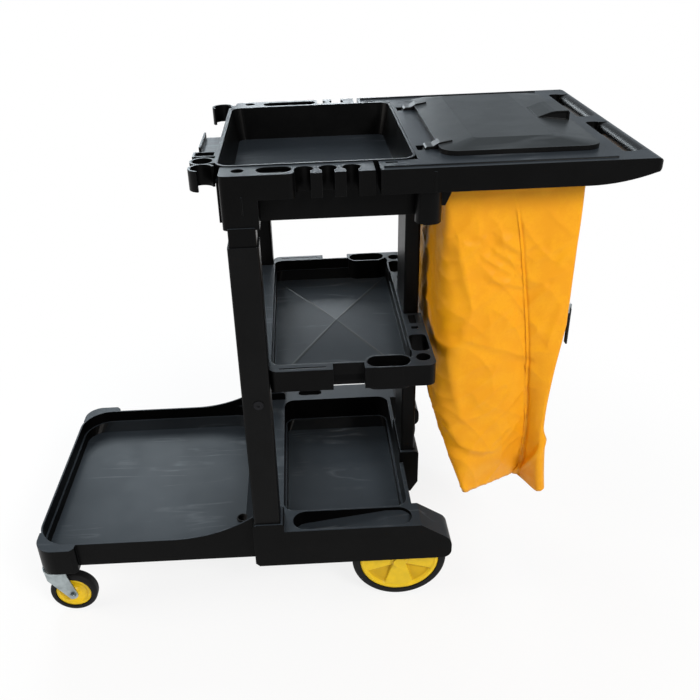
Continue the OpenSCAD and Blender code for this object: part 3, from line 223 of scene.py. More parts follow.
def soft_box(name, spot, aim, size, power, tint):
    lamp = bpy.data.lights.new(name, "AREA")
    lamp.shape = "SQUARE"
    lamp.size = size
    lamp.energy = power
    lamp.color = tint
    obj = bpy.data.objects.new(name, lamp)
    obj.location = spot
    obj.rotation_euler = (Vector(aim) - Vector(spot)).to_track_quat("-Z", "Y").to_euler()
    bpy.context.collection.objects.link(obj)


soft_box("key_box", (1.7, -2.7, 2.7), cart_middle, size=1.2, power=104, tint=(1.0, 0.97, 0.93))
soft_box("left_box", (-2.6, -0.4, 1.7), cart_middle, size=1.4, power=46, tint=(1.0, 0.93, 0.86))
soft_box("deck_box", (-1.05, 2.6, 2.05), deck_floor, size=1.1, power=45, tint=(0.84, 0.94, 1.0))
soft_box("shelf_box", (0.08, 2.7, 1.0), shelf_floor, size=0.8, power=25, tint=(0.88, 0.95, 1.0))
print("soft boxes:", len(bpy.data.lights))

# %% [markdown]
# ## Effects that several finishes share
# Plastic, rubber, plating and coated cloth have some things in common, and copying the same nodes into
# each material would soon let them drift apart. Each effect is a node group, built once, that puts out a
# mask, a height or a normal. The materials then decide how strong it is.

# %% Group helpers
def effect(name, inputs, outputs):
    tree = bpy.data.node_groups.new(name, "ShaderNodeTree")
    for label, value in inputs:
        socket = tree.interface.new_socket(label, in_out="INPUT", socket_type="NodeSocketFloat")
        socket.default_value = value
    for label in outputs:
        tree.interface.new_socket(label, in_out="OUTPUT", socket_type="NodeSocketFloat")
    return tree, tree.nodes.new("NodeGroupInput"), tree.nodes.new("NodeGroupOutput")


def place(tree, group, **values):
    node = tree.nodes.new("ShaderNodeGroup")
    node.node_tree = group
    for label, value in values.items():
        node.inputs[label].default_value = value
    return node.outputs


print("group helpers ready")

# %% [markdown]
# ### Grain
# The mould is spark-eroded, so the plastic comes out of it with a fine grain, and its shade clouds slowly
# from place to place. Two noises at very different scales give both without a picture to wrap.

# %% Moulded grain
tree, given, out = effect("moulded_grain", [("Grain", 900.0), ("Clouds", 11.0)], ["Height", "Mottle"])
where = add(tree, "ShaderNodeTexCoord").outputs["Object"]
fine = add(tree, "ShaderNodeTexNoise", {"Vector": where, "Scale": given.outputs["Grain"], "Detail": 2.0})
cloud = add(tree, "ShaderNodeTexNoise", {"Vector": where, "Scale": given.outputs["Clouds"], "Detail": 5.0,
                                         "Roughness": 0.62})
tree.links.new(fine.outputs[0], out.inputs["Height"])
tree.links.new(spread(tree, cloud.outputs[0], 0.3, 0.7), out.inputs["Mottle"])
moulded_grain = tree
print("grain group")

# %% [markdown]
# ### Dust and painted sheen
# Dust lies on faces that look up and slides off walls. The same pale tone also stands in for the light
# that up-facing faces catch, so it is partly dust and partly a painted sheen. The upward part of the normal
# tells which faces those are, and a noise keeps the layer uneven. Painted weights would do it too, but they
# have to be painted again whenever a mesh changes.

# %% Settled dust and painted sheen
tree, given, out = effect("dust_and_sheen", [("Level", 0.55), ("Patches", 7.0)], ["Mask"])
spot = add(tree, "ShaderNodeTexCoord").outputs
up = add(tree, "ShaderNodeSeparateXYZ", {0: spot["Normal"]}).outputs["Z"]
level = spread(tree, up, given.outputs["Level"], 1.0)
patch = add(tree, "ShaderNodeTexNoise", {"Vector": spot["Object"], "Scale": given.outputs["Patches"],
                                         "Detail": 6.0, "Roughness": 0.65})
mask = times(tree, level, spread(tree, patch.outputs[0], 0.25, 0.75, 0.85, 1.0))
tree.links.new(mask, out.inputs["Mask"])
dust_and_sheen = tree
print("dust group")

# %% [markdown]
# ### Rub marks
# Things slid over the floors leave long pale streaks. They are the lines along which a drawn-out noise
# crosses its middle value, broken by a second noise. A wave texture would give streaks too, but evenly
# spaced ones.

# %% Rub marks
tree, given, out = effect("rub_marks", [("Turn", 0.22), ("Width", 0.030)], ["Mask"])
where = add(tree, "ShaderNodeTexCoord").outputs["Object"]
turn = add(tree, "ShaderNodeCombineXYZ", {2: given.outputs["Turn"]}).outputs[0]
drawn_out = add(tree, "ShaderNodeMapping", {"Vector": where, "Rotation": turn, "Scale": (2.2, 17.0, 9.0)})
strand = add(tree, "ShaderNodeTexNoise", {"Vector": drawn_out.outputs[0], "Scale": 1.0, "Detail": 3.0,
                                          "Distortion": 0.5})
near = work_out(tree, "ABSOLUTE", work_out(tree, "SUBTRACT", strand.outputs[0], 0.5))
line = spread(tree, near, 0.0, given.outputs["Width"], 1.0, 0.0, soft=False)
gaps = add(tree, "ShaderNodeTexNoise", {"Vector": where, "Scale": 8.0, "Detail": 3.0})
mask = times(tree, line, spread(tree, gaps.outputs[0], 0.46, 0.70))
tree.links.new(mask, out.inputs["Mask"])
rub_marks = tree
print("rub group")

# %% [markdown]
# ### Rounded edges
# No moulded edge is sharp: each has a radius of about a millimetre, which catches the light as a thin
# bright line. A bevel modifier could round them, but it tangles where two edges lie closer than the
# radius, so a bevel node turns the normals instead and also tells where the edges are.

# %% Rounded edges
tree, given, out = effect("rounded_edges", [("Radius", 0.001)], ["Mask"])
tree.interface.new_socket("Normal", in_out="OUTPUT", socket_type="NodeSocketVector")
turned = add(tree, "ShaderNodeBevel", {"Radius": given.outputs["Radius"]}, samples=6).outputs[0]
facing = add(tree, "ShaderNodeNewGeometry").outputs["Normal"]
agree = add(tree, "ShaderNodeVectorMath", {0: turned, 1: facing}, operation="DOT_PRODUCT")
tree.links.new(spread(tree, agree.outputs["Value"], 0.97, 0.72), out.inputs["Mask"])
tree.links.new(turned, out.inputs["Normal"])
rounded_edges = tree
print("edge group")

# %% [markdown]
# ### Weave
# Under its coating the bag is a plain weave, one thread over and one under. Two sine waves multiplied, one
# along the cloth and one up it, have just that chequer of bumps. A checker texture has hard steps instead.

# %% Woven threads
tree, given, out = effect("woven_threads", [("Pitch", 0.0009)], ["Height"])
where = add(tree, "ShaderNodeTexCoord").outputs["Object"]
axis = add(tree, "ShaderNodeSeparateXYZ", {0: where}).outputs
ridges = []
for run in (work_out(tree, "ADD", axis["X"], axis["Y"]), axis["Z"]):
    count = work_out(tree, "DIVIDE", run, given.outputs["Pitch"])
    ridges.append(work_out(tree, "SINE", times(tree, count, 2 * math.pi)))
tree.links.new(times(tree, *ridges), out.inputs["Height"])
woven_threads = tree
print("weave group")

# %% [markdown]
# ## The black mouldings
# The decks, shelves, tray and platform are one kind of black plastic, with a spark-eroded grain from the
# mould. Level faces look greyer than walls, partly through dust with a painted sheen on them and partly
# through the bright room they mirror, and their edges are painted paler, partly wear and partly a painted
# highlight. One function makes this finish, and with other values the smoother posts and the paler lid.

# %% Finish helpers
def new_finish(name, **sockets):
    mat = bpy.data.materials.new(name)
    mat.use_nodes = True
    tree = mat.node_tree
    tree.nodes.clear()
    skin = add(tree, "ShaderNodeBsdfPrincipled")
    for label, value in sockets.items():
        skin.inputs[label.replace("_", " ")].default_value = value
    add(tree, "ShaderNodeOutputMaterial", {"Surface": skin.outputs[0]})
    return mat, tree, skin.inputs


def vary_gloss(tree, skin, mottle, at_dark, at_pale):
    tree.links.new(spread(tree, mottle, 0.0, 1.0, at_dark, at_pale), skin["Roughness"])


def raise_grain(tree, skin, height, edges, strength, deep):
    bump = add(tree, "ShaderNodeBump", {"Height": height, "Strength": strength, "Distance": deep,
                                        "Normal": edges["Normal"]})
    tree.links.new(bump.outputs[0], skin["Normal"])


print("finish helpers ready")

# %% Black plastic
scuff_tone, worn_highlight_tone = rgb(0.16, 0.18, 0.20), rgb(0.040, 0.043, 0.047)
mould_edge, mould_grain_deep = 0.0012, 0.0004


def black_moulding(name, shade, dust_sheen, dust_sheen_tone, marks, gloss, sheen, grain, depth, wear_and_highlight, edge=mould_edge):
    mat, tree, skin = new_finish(name, IOR=1.5, Specular_IOR_Level=sheen)
    grained = place(tree, moulded_grain, Grain=grain)
    dust_sheen_mask = place(tree, dust_and_sheen)["Mask"]
    rubbed = place(tree, rub_marks)["Mask"]
    edges = place(tree, rounded_edges, Radius=edge)
    dark = rgb(shade * 0.8, shade * 0.82, shade * 0.86)
    pale = rgb(shade * 1.25, shade * 1.28, shade * 1.35)
    plain = blend_colours(tree, grained["Mottle"], dark, pale)
    # dust tone on faces that look up: partly dust, partly a painted sheen
    dust_sheened = blend_colours(tree, times(tree, dust_sheen_mask, dust_sheen), plain, rgb(*dust_sheen_tone))
    flat_marks = times(tree, rubbed, dust_sheen_mask)
    scuffed = blend_colours(tree, times(tree, flat_marks, marks), dust_sheened, scuff_tone)
    # edges painted paler: partly wear, partly a painted highlight
    edge_highlight_mask = times(tree, edges["Mask"], grained["Mottle"])
    worn_and_highlit = blend_colours(tree, times(tree, edge_highlight_mask, wear_and_highlight), scuffed, worn_highlight_tone)
    tree.links.new(worn_and_highlit, skin["Base Color"])
    vary_gloss(tree, skin, grained["Mottle"], gloss - 0.02, gloss + 0.03)
    raise_grain(tree, skin, grained["Height"], edges, depth, mould_grain_deep)
    return mat


finishes = {
    "black_plastic": black_moulding(
        "black_plastic", shade=0.0019, dust_sheen=0.9, dust_sheen_tone=(0.031, 0.039, 0.048), marks=0.38,
        gloss=0.33, sheen=0.060, grain=950, depth=0.22, wear_and_highlight=0.6),
    "post_plastic": black_moulding(
        "post_plastic", shade=0.0030, dust_sheen=0.5, dust_sheen_tone=(0.020, 0.022, 0.025), marks=0.1,
        gloss=0.38, sheen=0.08, grain=1300, depth=0.12, wear_and_highlight=0.4),
    "lid_plastic": black_moulding(
        "lid_plastic", shade=0.0055, dust_sheen=0.9, dust_sheen_tone=(0.038, 0.044, 0.048), marks=0.2,
        gloss=0.38, sheen=0.08, grain=1100, depth=0.16, wear_and_highlight=0.5),
}
print("plastics:", sorted(finishes))

# %% [markdown]
# ## Steel, rubber and yellow plastic
# The caster forks are zinc-plated pressings: a grey metal with a cloudy, slightly rough plating. The
# screws are blackened steel. The tyres are dull rubber that picks up grit, and the hubs are yellow
# plastic with a grain much like that of the decks, darker and duller in their hollows with painted shade and
# some dirt.

# %% Plated and blackened steel
steel_edge, steel_grain_deep = 0.0006, 0.0002


def plated_steel(name, tone, gloss, streak):
    mat, tree, skin = new_finish(name, Metallic=1.0)
    grained = place(tree, moulded_grain, Grain=420.0, Clouds=60.0)
    edges = place(tree, rounded_edges, Radius=steel_edge)
    dull = rgb(*(part * 0.72 for part in tone))
    tree.links.new(blend_colours(tree, grained["Mottle"], dull, rgb(*tone)), skin["Base Color"])
    vary_gloss(tree, skin, grained["Mottle"], gloss + 0.12, gloss)
    raise_grain(tree, skin, grained["Height"], edges, streak, steel_grain_deep)
    return mat


finishes["zinc"] = plated_steel("zinc", tone=(0.40, 0.45, 0.46), gloss=0.28, streak=0.12)
finishes["black_steel"] = plated_steel("black_steel", tone=(0.022, 0.022, 0.024), gloss=0.34, streak=0.10)
print("steel ready")

# %% Tyre rubber and hub plastic
wheel_edge = 0.0009


def wheel_finish(name, tone, grit_tone, grit, gloss, sheen, grain, depth):
    mat, tree, skin = new_finish(name, Specular_IOR_Level=sheen)
    grained = place(tree, moulded_grain, Grain=grain, Clouds=24.0)
    edges = place(tree, rounded_edges, Radius=wheel_edge)
    deep = rgb(*(part * 0.8 for part in tone))
    plain = blend_colours(tree, grained["Mottle"], deep, rgb(*tone))
    gritty = blend_colours(tree, times(tree, grained["Height"], grit), plain, rgb(*grit_tone))
    tree.links.new(gritty, skin["Base Color"])
    vary_gloss(tree, skin, grained["Mottle"], gloss - 0.06, gloss + 0.08)
    raise_grain(tree, skin, grained["Height"], edges, depth, mould_grain_deep)
    return mat


finishes["tyre_rubber"] = wheel_finish(
    "tyre_rubber", tone=(0.006, 0.006, 0.0065), grit_tone=(0.022, 0.021, 0.019), grit=0.22,
    gloss=0.62, sheen=0.14, grain=700, depth=0.3)
finishes["yellow_plastic"] = wheel_finish(
    "yellow_plastic", tone=(0.86, 0.57, 0.009), grit_tone=(0.72, 0.46, 0.02), grit=0.2,
    gloss=0.38, sheen=0.30, grain=800, depth=0.12)
# darker, duller yellow for the disc hollows: painted shade, with some dirt
finishes["hub_hollow_shade"] = wheel_finish(
    "hub_hollow_shade", tone=(0.70, 0.43, 0.010), grit_tone=(0.52, 0.32, 0.02), grit=0.3,
    gloss=0.50, sheen=0.20, grain=800, depth=0.12)
print("wheel finishes ready")

# %% [markdown]
# ## Vinyl and zip tape
# The bag is a woven cloth coated with yellow vinyl. Close up the threads print through the coating, and
# the colour turns more orange where the coating is thin. The zip tape is a plain black weave. Both get a
# bump of threads, and over it a bump of ridged noise for the wrinkles too small to model.

# %% Bag vinyl and zip tape
thread_deep, wrinkle_deep, wrinkle_scale = 0.0002, 0.005, 19.0


def coated_cloth(name, tone, thin_tone, pitch, gloss, sheen, thread, crinkle):
    mat, tree, skin = new_finish(name, Specular_IOR_Level=sheen)
    threads = place(tree, woven_threads, Pitch=pitch)["Height"]
    grained = place(tree, moulded_grain, Grain=260.0, Clouds=20.0)
    coat = spread(tree, times(tree, grained["Mottle"], grained["Height"]), 0.05, 0.5)
    tree.links.new(blend_colours(tree, coat, rgb(*thin_tone), rgb(*tone)), skin["Base Color"])
    vary_gloss(tree, skin, grained["Mottle"], gloss + 0.06, gloss - 0.05)
    weave = add(tree, "ShaderNodeBump", {"Height": threads, "Strength": thread, "Distance": thread_deep})
    where = add(tree, "ShaderNodeTexCoord").outputs["Object"]
    ridge = add(tree, "ShaderNodeTexNoise", {"Vector": where, "Scale": wrinkle_scale, "Detail": 4.0,
                                             "Roughness": 0.5, "Distortion": 0.6},
                noise_type="RIDGED_MULTIFRACTAL")
    wrinkle = add(tree, "ShaderNodeBump", {"Height": ridge.outputs[0], "Strength": crinkle,
                                           "Distance": wrinkle_deep, "Normal": weave.outputs[0]})
    tree.links.new(wrinkle.outputs[0], skin["Normal"])
    return mat


finishes["bag_vinyl"] = coated_cloth(
    "bag_vinyl", tone=(0.82, 0.350, 0.005), thin_tone=(0.79, 0.318, 0.005), pitch=0.0011,
    gloss=0.46, sheen=0.20, thread=0.25, crinkle=0.6)
finishes["zip_black"] = coated_cloth(
    "zip_black", tone=(0.016, 0.016, 0.017), thin_tone=(0.009, 0.009, 0.010), pitch=0.0009,
    gloss=0.62, sheen=0.25, thread=0.5, crinkle=0.15)
print("cloth finishes ready")

# %% [markdown]
# ## Dressing the solids
# The record of the cart says which finish each piece takes. The pieces keep their own meshes, so dressing
# them only means giving each one its material.

# %% Dress the solid pieces
slot_of = {part["node"]: part["material_slot"] for part in frame["record"]["subparts"]}
for name, solid in solids.items():
    solid.data.materials.clear()
    solid.data.materials.append(finishes[slot_of[name]])
print("dressed", len(solids), "solid pieces")

# %% [markdown]
# ## Rear wheels
# The rear wheels are moulded discs. In the picture the near one stands with one of four broad spokes
# straight down and a three-cornered hollow on each side of it. Cutting the hollows with booleans leaves
# sharp edges, so each face is a grid of rings whose height comes from a formula, and the edges come out
# soft. The faces in the hollows take a darker, duller yellow: painted shade, with some dirt.

# %% New pieces
def new_piece(name, points, faces, finish, body):
    mesh = bpy.data.meshes.new(name)
    mesh.from_pydata(points, [], faces)
    mesh.materials.append(finish)
    for face in mesh.polygons:
        face.use_smooth = True
    obj = bpy.data.objects.new(name, mesh)
    bpy.context.collection.objects.link(obj)
    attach(obj, body)
    return obj


def band(one, two, size, base=0):
    for k in range(size):
        j = (k + 1) % size
        quad = (one * size + k, one * size + j, two * size + j, two * size + k)
        yield tuple(base + corner for corner in quad)


def lathe(profile, centre, axis, steps):
    points, faces = [], []
    for n in range(steps):
        turn = Matrix.Rotation(2 * math.pi * n / steps, 3, axis)
        for radius, along in profile:
            arm = Vector((radius, along, 0)) if axis == "Y" else Vector((radius, 0, along))
            points.append(tuple(Vector(centre) + turn @ arm))
    for n in range(steps):
        faces += band(n, (n + 1) % steps, len(profile))
    return points, faces


def middle_of(node):
    low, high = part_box(node)
    return (Vector(low) + Vector(high)) / 2, (Vector(high) - Vector(low)) / 2


print("piece helpers ready")

# %% Face of a rear disc
eighth_turn = math.pi / 4
hollow_tip, hollow_outer, flank_across, flank_along = 0.019, 0.0735, 0.0265, 0.050
plate_half, rim_rise, boss_rise = 0.014, 0.002, 0.005
rim_inside, rim_outside, boss_edge = (0.0745, 0.0765), (0.0815, 0.0835), (0.0160, 0.0185)
hollow_deep, hollow_shoaling, shoaling_run, hollow_wall = 0.0095, 0.0035, (0.020, 0.072), 0.0020


def ease(value, low, high):
    s = min(1.0, max(0.0, (value - low) / (high - low)))
    return s * s * (3 - 2 * s)


def hollow_inset(radius, angle):
    off = (angle + eighth_turn) % (2 * eighth_turn) - eighth_turn
    along, across = radius * math.cos(off), abs(radius * math.sin(off))
    flank = (along - hollow_tip) * flank_across - across * flank_along
    return min(flank / math.hypot(flank_across, flank_along), hollow_outer - radius)


def face_height(radius, angle):
    height = plate_half + rim_rise * (ease(radius, *rim_inside) - ease(radius, *rim_outside))
    height += boss_rise * (1 - ease(radius, *boss_edge))
    deep = hollow_deep - hollow_shoaling * ease(radius, *shoaling_run)
    return height - deep * ease(hollow_inset(radius, angle), 0.0, hollow_wall)


print("disc height at the hub:", face_height(0.0, 0.0))

# %% Rear discs
disc_steps, disc_turns = 42, 256
axle_bore, hollow_shade_margin = 0.0061, 0.0006


def disc_mesh(centre, radius):
    points, faces = [], []
    for way in (-1, 1):
        for n in range(disc_steps):
            r = axle_bore + (radius - axle_bore) * n / (disc_steps - 1)
            for k in range(disc_turns):
                a = 2 * math.pi * (k + 0.5) / disc_turns
                height = way * face_height(r, a + eighth_turn)
                points.append(tuple(centre + Vector((r * math.sin(a), height, r * math.cos(a)))))
    rows = [*range(disc_steps), *range(2 * disc_steps - 1, disc_steps - 1, -1), 0]
    for one, two in zip(rows, rows[1:]):
        faces += band(one, two, disc_turns)
    return points, faces


for side in ("left", "right"):
    node = "rear_hub_" + side
    centre = middle_of("rear_tyre_" + side)[0]
    points, faces = disc_mesh(centre, middle_of(node)[1].z)
    disc = new_piece("spoked_disc_" + side, points, faces, finishes["yellow_plastic"], "rear_wheel_" + side)
    # second slot: painted shade in the hollows
    disc.data.materials.append(finishes["hub_hollow_shade"])
    for face in disc.data.polygons:
        arm = face.center - centre
        if hollow_inset(math.hypot(arm.x, arm.z), math.atan2(arm.x, arm.z) + eighth_turn) > hollow_shade_margin:
            face.material_index = 1
    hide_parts(node)
print("rear discs with four spokes")

# %% [markdown]
# ## Caster wheels
# A caster's disc is round all the way: a raised rim, a dish, and a boss where the bolt passes. A screw
# modifier could spin its profile, but the small lathe from above does it in place and closes the ring.

# %% Caster discs
rim_setback, lathe_steps = 0.002, 96


def dish_profile(radius, half_wide, boss):
    rim = half_wide - 0.0003
    one_side = [
        (0.0042, boss), (0.0092, boss), (0.0106, boss - 0.0012), (0.0118, rim - 0.0042),
        (0.0150, rim - 0.0050), (0.0262, rim - 0.0046), (0.0292, rim - 0.0030), (0.0306, rim - 0.0006),
        (0.0318, rim), (radius - 0.0016, rim), (radius - 0.0004, rim - 0.0008),
    ]
    return one_side + [(r, -y) for r, y in reversed(one_side)]


for side in ("left", "right"):
    node = "caster_hub_" + side
    centre, half = middle_of(node)
    tyre_half = middle_of("caster_tyre_" + side)[1].y
    points, faces = lathe(dish_profile(half.z, tyre_half - rim_setback, half.y), centre, "Y", lathe_steps)
    disc = new_piece("dished_disc_" + side, points, faces, finishes["yellow_plastic"], "caster_wheel_" + side)
    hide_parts(node)
print("caster discs lathed")

# %% [markdown]
# ## The drain bung
# A black bung closes the drain hole beside the near post. It is a turned shape with a hollow top, so the
# lathe makes it too, this time about an upright axis.

# %% Drain bung
drain = Vector((-0.1615, -0.138, 0.138))
bung_profile = [
    (0.0, -0.0060), (0.0030, -0.0060), (0.0034, -0.0036), (0.0074, -0.0030), (0.0090, 0.0014),
    (0.0104, 0.0032), (0.0122, 0.0034), (0.0134, 0.0018), (0.0134, 0.0), (0.0089, 0.0),
    (0.0089, -0.0034), (0.0089, -0.0066), (0.0, -0.0066),
]
bung = new_piece("drain_bung", *lathe(bung_profile, drain, "Z", 48), finishes["tyre_rubber"], "cart")
print("bung at", tuple(round(v, 3) for v in drain))

# %% [markdown]
# ## The creased shelf
# The floor of the middle shelf is crowned, and its four creases show as bright lines, so each gets a low
# rounded bead that catches the light, in the paler lid finish as a painted highlight. The corners could be
# typed in, but facets that are nearly level, and not quite, give them away, and then the beads follow the
# shelf if its size changes.

# %% Crown of the shelf
tilt_least, tilt_most, facet_least = 0.9999, 0.99, 0.005
floor_mesh = solids["middle_shelf"].data
facets = [face for face in floor_mesh.polygons
          if tilt_most < face.normal.z < tilt_least and face.area > facet_least]
spots = [floor_mesh.vertices[i].co for face in facets for i in face.vertices]
peak = max(spots, key=lambda spot: spot.z)
print("creases meet at", tuple(round(v, 3) for v in peak))

# %% Shelf creases
bead_wide, bead_high, bead_sunk = 0.007, 0.0007, 0.00005
bead_steps, bead_strips = 24, 6


def bead_fade(s):
    return min(1.0, 0.35 + 2.6 * s) * min(1.0, 0.2 + 4.0 * (1 - s))


def crease_beads():
    points, faces = [], []
    rung = bead_strips + 1
    for sx, sy in ((-1, -1), (-1, 1), (1, -1), (1, 1)):
        corner = max(spots, key=lambda spot: sx * (spot.x - peak.x) + sy * (spot.y - peak.y))
        run = corner - peak
        side = run.cross(Vector((0, 0, 1))).normalized()
        base = len(points)
        for n in range(bead_steps + 1):
            fade = bead_fade(n / bead_steps)
            for k in range(rung):
                across = 2 * k / bead_strips - 1
                lift = bead_high * (1 - across * across) - bead_sunk
                spot = peak + run * (n / bead_steps) + side * (across * bead_wide / 2 * fade)
                points.append(tuple(spot + Vector((0, 0, lift * fade))))
        for n in range(bead_steps):
            for k in range(bead_strips):
                a = base + n * rung + k
                faces.append((a, a + 1, a + rung + 1, a + rung))
    return points, faces


# the paler lid finish paints a highlight along each crease
beads = new_piece("shelf_creases", *crease_beads(), finishes["lid_plastic"], "cart")
print("crease points:", len(beads.data.vertices))

# %% [markdown]
# ## Hand-polished grips
# The cart is pushed by two round rails behind the hand slots, and hands polish them smoother than the rest
# of the platform. A material can't be blended by place without a mask, so each rail gets a thin skin of
# its own: half a tube, a fifth of a millimetre proud of the moulding. Its finish is the black plastic
# again, without the grain and the rounded edges.

# %% Shape of a grip skin
rail_x, rail_z, rail_radius = cad_box[1][0] - 0.014, 0.941, 0.0132
rail_near, rail_far = 0.0245, 0.2145
skin_thick, skin_from, skin_sweep = 0.0012, 86, 184
skin_turns, skin_rows = 40, 24


def rail_skin(side):
    arc = [math.radians(skin_from + skin_sweep * k / skin_turns) for k in range(skin_turns + 1)]
    outline = [(rail_radius, a) for a in arc] + [(rail_radius - skin_thick, a) for a in reversed(arc)]
    size = len(outline)
    points, faces = [], []
    for n in range(skin_rows + 1):
        y = side * (rail_near + (rail_far - rail_near) * n / skin_rows)
        for radius, a in outline:
            points.append((rail_x + radius * math.cos(a), y, rail_z + radius * math.sin(a)))
    for n in range(skin_rows):
        faces += [quad if side > 0 else quad[::-1] for quad in band(n, n + 1, size)]
    for k in range(skin_turns):
        first = (k, size - 1 - k, size - 2 - k, k + 1)
        last = tuple(skin_rows * size + i for i in reversed(first))
        faces += [first, last] if side < 0 else [first[::-1], last[::-1]]
    return points, faces


print("grip rails at x", round(rail_x, 4))

# %% Grip skins
finishes["grip_plastic"] = black_moulding(
    "grip_plastic", shade=0.0034, dust_sheen=0.4, dust_sheen_tone=(0.016, 0.018, 0.021), marks=0.05,
    gloss=0.36, sheen=0.12, grain=1300, depth=0.0, wear_and_highlight=0.1, edge=0.0)
for side, name in ((-1, "grip_skin_left"), (1, "grip_skin_right")):
    skin = new_piece(name, *rail_skin(side), finishes["grip_plastic"], "cart")
print("grip skin points:", len(skin.data.vertices))

# %% [markdown]
# ## The shape of the bag
# The bag hangs from its hem under the platform. Its front leans back towards the foot, its back falls
# almost straight, and each side is tucked inwards along a sewn crease, which is how such a bag folds flat.
# A cloth simulation would give folds of its own choosing. The folds of this bag are plain to see, so the
# shell is lofted from rings and each fold is laid in one by one.

# %% Bag measures
hem_lo, hem_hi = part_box("bag_hem")
bag_front, bag_back, bag_half = hem_lo[0], hem_hi[0], hem_hi[1]
bag_mouth, bag_top, bag_foot = hem_hi[2], hem_lo[2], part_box("bag")[0][2]
bag_run = bag_back - bag_front
bag_mid = (bag_front + bag_back) / 2
print("bag from", [round(v, 3) for v in (bag_front, bag_back, bag_half)], "foot", round(bag_foot, 3))

# %% Lines down the bag
lean_share, lean_from, lean_run, lean_curve = 0.27, 0.64, 0.36, 1.4
waist_deep, waist_from, waist_run = 0.0185, 0.42, 0.66
crease_fore, crease_share, crease_curve = 0.006, 0.345, 1.7
tuck_even, tuck_foot = 0.032, 0.034


def drop(z):
    return min(1.0, max(0.0, (bag_top - z) / (bag_top - bag_foot)))


def bag_lines(z):
    t = drop(z)
    front = bag_front + lean_share * bag_run * max(0.0, (t - lean_from) / lean_run) ** lean_curve
    back = bag_back - waist_deep * math.sin(math.pi * max(0.0, (t - waist_from) / waist_run))
    crease = bag_mid - crease_fore + crease_share * bag_run * (1 - (1 - t) ** crease_curve)
    tuck = tuck_even * t + tuck_foot * t ** 6
    return front, back, crease, tuck


print("front, back, crease and tuck at the foot:", [round(v, 3) for v in bag_lines(bag_foot)])

# %% One ring of the bag
front_steps, corner_steps, fore_steps, aft_steps, heel_steps, back_steps = 14, 12, 60, 34, 5, 20
hem_round, body_round, heel_round, side_swell = 0.007, 0.045, 0.006, 0.004


def half_ring(z):
    front, back, crease, tuck = bag_lines(z)
    t = drop(z)
    foot = ease(t, 0.55, 1.0)
    nose = hem_round + body_round * ease(t, 0.0, 0.35) * (1 - ease(t, 0.8, 1.0))
    swell = side_swell * math.sin(math.pi * t)
    ring = [(front, -(bag_half - nose) * i / front_steps, "front") for i in range(front_steps)]
    for i in range(corner_steps):
        a = math.pi / 2 * i / corner_steps
        ring.append((front + nose * (1 - math.cos(a)), -bag_half + nose * (1 - math.sin(a)), "side"))
    for i in range(fore_steps):
        s = 1 - (1 - i / fore_steps) ** 1.3
        inward = tuck * s ** (1.8 - 0.75 * foot)
        y = -bag_half + inward - swell * math.sin(math.pi * s)
        ring.append((front + nose + (crease - front - nose) * s, y, "side"))
    for i in range(aft_steps):
        s = (i / aft_steps) ** 1.3
        inward = tuck * (1 - s) ** (1.35 - 0.3 * foot)
        y = -bag_half + inward - 0.5 * swell * math.sin(math.pi * s)
        ring.append((crease + (back - heel_round - crease) * s, y, "side"))
    for i in range(heel_steps):
        a = math.pi / 2 * i / heel_steps
        x = back - heel_round * (1 - math.sin(a))
        ring.append((x, -bag_half + heel_round * (1 - math.cos(a)), "side"))
    for i in range(back_steps + 1):
        ring.append((back, -(bag_half - heel_round) * (1 - i / back_steps), "back"))
    return ring


print("points in half a ring:", len(half_ring(bag_top)))

# %% [markdown]
# ## Folds laid in one by one
# Each fold is a line on the side of the bag, in millimetres, with a height and a width. Cloth rises gently
# on one side of a fold and drops faster on the other, so a point's signed distance from the line picks
# the slope. Low noise on top keeps the panels between the folds from looking ironed.

# %% Fold profile
mm = 1000


def line_distance(x, z, line):
    best, side = 1e9, 1.0
    for (x0, z0), (x1, z1) in zip(line, line[1:]):
        dx, dz = x1 - x0, z1 - z0
        s = max(0.0, min(1.0, ((x - x0) * dx + (z - z0) * dz) / (dx * dx + dz * dz)))
        px, pz = x - x0 - s * dx, z - z0 - s * dz
        gap = math.hypot(px, pz)
        if gap < best:
            best, side = gap, math.copysign(1.0, dx * pz - dz * px)
    return best * side


def fold_lift(x, z, folds):
    lift = 0.0
    for line, height, width in folds:
        gap = line_distance(x * mm, z * mm, line) / width
        if abs(gap) < 4:
            lift += height * (math.exp(-abs(gap / 0.75) ** 1.15) - 0.6 * math.exp(-(gap + 1.3) ** 2))
    return lift / mm


print("fold profile ready")

# %% Fold lines
near_folds = [
    ([(292, 606), (378, 575), (418, 553)], 2.6, 10),
    ([(280, 391), (300, 359), (349, 338)], 5.0, 13),
    ([(275, 791), (291, 731), (306, 665), (293, 627)], 4.5, 12),
    ([(294, 801), (310, 805)], -3.0, 8),
    ([(344, 778), (385, 750)], 3.5, 8),
    ([(352, 800), (392, 770)], 4.0, 11),
    ([(339, 725), (395, 706)], 3.5, 9),
    ([(320, 770), (372, 735)], 2.5, 7),
    ([(476, 776), (458, 757)], 3.0, 8),
    ([(474, 672), (456, 597)], 3.5, 9),
    ([(397, 781), (417, 792)], 3.0, 8),
    ([(438, 700), (408, 660)], 3.5, 10),
    ([(268, 560), (284, 480), (300, 430)], 3.5, 13),
    ([(330, 470), (372, 440)], 2.0, 14),
]
far_folds = [
    ([(280, 700), (330, 640), (400, 610)], 5.0, 14),
    ([(290, 520), (340, 470), (420, 450)], 4.5, 15),
    ([(300, 380), (360, 340)], 4.0, 13),
    ([(480, 740), (440, 660)], 4.0, 12),
    ([(350, 800), (395, 760)], 3.0, 9),
]
dog_ear = [(438, 226), (452, 300), (472, 402)]
print("folds:", len(near_folds), "near,", len(far_folds), "far")

